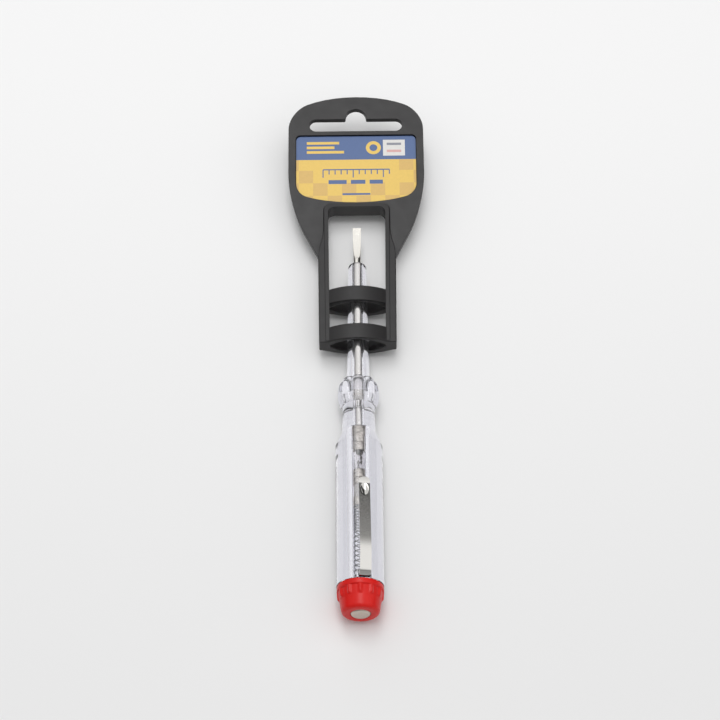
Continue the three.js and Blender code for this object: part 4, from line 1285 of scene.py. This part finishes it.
mottle = add(tree, "TexNoise", {"Vector": place, "Scale": 1.4 / MM, "Detail": 3.0})
shade = add(tree, "MapRange", {"Value": mottle, "To Min": 0.94, "To Max": 1.06})
toned = add(tree, "VectorMath", {0: look, "Scale": shade}, operation="SCALE")
fill(tree, shader, {"Base Color": toned, "Roughness": 0.35, "Specular IOR Level": 0.3})
finished(card, "printed_card", "hanger", printed_card, ["label_card"], 35)


# Floor, light and camera
# A pale floor in a bright white tent, with a wide softbox overhead and two black cards low beside
# the object. It is seen at the photograph's angle.

FLOOR_WIDTH = 8
# How far either way of the object the floor's painted light fades from darker in front to lighter
# behind.
PAINTED_LIGHT_FADE = 0.16
THROUGH_SHARE = 0.65
FLAG_WIDTH = 0.12
FLAG_LENGTH = 0.5
FLAG_DISTANCE = 0.28
FLAG_HEIGHT = 0.05
FLAG_TILT = -math.radians(60)

# Matt paint with painted light: a little brighter behind the object, where more light falls. Clear
# pieces gather light on the floor below them, so through them it shows nearly white.
floor_paint, tree, shader, place = new_material("pale floor paint")
toward = add(tree, "SeparateXYZ", {0: place})
# Painted light: the floor's colour grows lighter from front to back.
painted_light = add(
    tree,
    "MapRange",
    {"Value": toward.outputs["Y"], "From Min": -PAINTED_LIGHT_FADE, "From Max": PAINTED_LIGHT_FADE},
    interpolation_type="SMOOTHSTEP",
)
paint_and_light = add(tree, "MixRGB", {"Fac": painted_light, "Color1": ink("#e8e8e8"), "Color2": ink("#f5f5f5")})
fill(tree, shader, {"Base Color": paint_and_light, "Roughness": 0.9, "Specular IOR Level": 0.1})
ray = add(tree, "LightPath")
through_share = add(
    tree, "Math", {0: ray.outputs["Is Transmission Ray"], 1: THROUGH_SHARE}, operation="MULTIPLY"
)
gathered = add(tree, "Emission", {"Color": ink("#f4f4f8"), "Strength": 1.0})
shown = add(tree, "MixShader", {0: through_share, 1: shader, 2: gathered})
fill(tree, tree.nodes["Material Output"], {"Surface": shown})


def sheet(name, width, length, material):
    """A flat sheet in metres, lying at the origin."""
    bm = bmesh.new()
    bmesh.ops.create_grid(bm, x_segments=1, y_segments=1, size=0.5)
    bmesh.ops.scale(bm, vec=(width, length, 1), verts=bm.verts)
    laid = placed(name, bm)
    laid.data.materials.append(material)
    return laid


floor = sheet("floor", FLOOR_WIDTH, FLOOR_WIDTH, floor_paint)

# Matt black card. The two cards draw the thin dark lines on the edges of clear and polished
# pieces. The camera doesn't see them, and they take no light from the floor.
black_card, tree, shader, _ = new_material("black card")
fill(tree, shader, {"Base Color": ink("#101010"), "Roughness": 0.9})
for side in (-1, 1):
    flag = sheet("flag", FLAG_WIDTH, FLAG_LENGTH, black_card)
    flag.location = (side * FLAG_DISTANCE, 0, FLAG_HEIGHT)
    flag.rotation_euler = (0, side * FLAG_TILT, 0)
    flag.visible_camera = False
    flag.visible_diffuse = False
    flag.visible_shadow = False

# The tent is brightest above, towards the back on the right. Its one dim opening, low behind on
# the right, is what the polished clip mirrors in front of its crest.
TENT_MIDDLE = 0.34
TENT_RISE = 0.72
TENT_BRIGHT_SIDE = (0.3, 0.35, 0.887)
OPENING_SIDE = (-0.11, 0.835, -0.54)
OPENING_SHARE = 0.05
OPENING_FADE = 0.05
OPENING_LEFT = 0.17
world = bpy.data.worlds.new("white tent")
world.use_nodes = True
bpy.context.scene.world = world
tree = world.node_tree
direction = add(tree, "TexCoord").outputs["Generated"]
brighter = add(tree, "VectorMath", {0: direction, 1: TENT_BRIGHT_SIDE}, operation="DOT_PRODUCT")
glow = add(
    tree,
    "Math",
    {0: brighter.outputs["Value"], 1: TENT_RISE, 2: TENT_MIDDLE},
    operation="MULTIPLY_ADD",
)
toward_opening = add(tree, "VectorMath", {0: direction, 1: OPENING_SIDE}, operation="DOT_PRODUCT")
low_enough = add(
    tree,
    "MapRange",
    {"Value": toward_opening.outputs["Value"], "From Min": -OPENING_FADE, "From Max": OPENING_FADE},
    interpolation_type="SMOOTHSTEP",
)
across = add(tree, "SeparateXYZ", {0: direction})
right_enough = add(
    tree,
    "MapRange",
    {
        "Value": across.outputs["X"],
        "From Min": OPENING_LEFT - OPENING_FADE,
        "From Max": OPENING_LEFT + OPENING_FADE,
    },
    interpolation_type="SMOOTHSTEP",
)
in_opening = add(tree, "Math", {0: low_enough, 1: right_enough}, operation="MULTIPLY")
dimming = add(tree, "MapRange", {"Value": in_opening, "To Min": 1.0, "To Max": OPENING_SHARE})
strength = add(tree, "Math", {0: glow, 1: dimming}, operation="MULTIPLY")
fill(tree, tree.nodes["Background"], {"Color": ink("#ffffff"), "Strength": strength})

# One softbox overhead, a little behind: it gives the close soft shadows and the sparks on polished
# edges. It isn't seen through clear pieces, where it would fill them with white.
SOFTBOX_WIDTH = 0.4
SOFTBOX_LENGTH = 1.0
SOFTBOX_POWER = 4.4
SOFTBOX_PLACE = (-0.03, 0.15, 1.1)
softbox_data = bpy.data.lights.new("softbox", "AREA")
softbox_data.shape = "RECTANGLE"
softbox_data.size = SOFTBOX_WIDTH
softbox_data.size_y = SOFTBOX_LENGTH
softbox_data.energy = SOFTBOX_POWER
softbox = placed("softbox", softbox_data)
softbox.location = SOFTBOX_PLACE
softbox.visible_transmission = False
softbox.rotation_euler = softbox.location.to_track_quat("Z", "Y").to_euler()

# The photograph's camera: a long lens, looking down steeply from the end cap's side.
LOOK_AT = Vector((0.0006, -0.0057, 0.0071))
CAMERA_ELEVATION = math.radians(57.5)
CAMERA_DISTANCE = 0.694
CAMERA_LENS = 110
SENSOR_WIDTH = 36
CAMERA_ROLL = math.radians(0.6)
back = Vector((0, -math.cos(CAMERA_ELEVATION), math.sin(CAMERA_ELEVATION)))
camera_data = bpy.data.cameras.new("camera")
camera_data.lens = CAMERA_LENS
camera_data.sensor_width = SENSOR_WIDTH
camera = placed("camera", camera_data)
turn = back.to_track_quat("Z", "Y").to_matrix().to_4x4() @ Matrix.Rotation(-CAMERA_ROLL, 4, "Z")
camera.matrix_world = Matrix.Translation(LOOK_AT + back * CAMERA_DISTANCE) @ turn
bpy.context.scene.camera = camera
bpy.context.scene.view_settings.view_transform = "Standard"
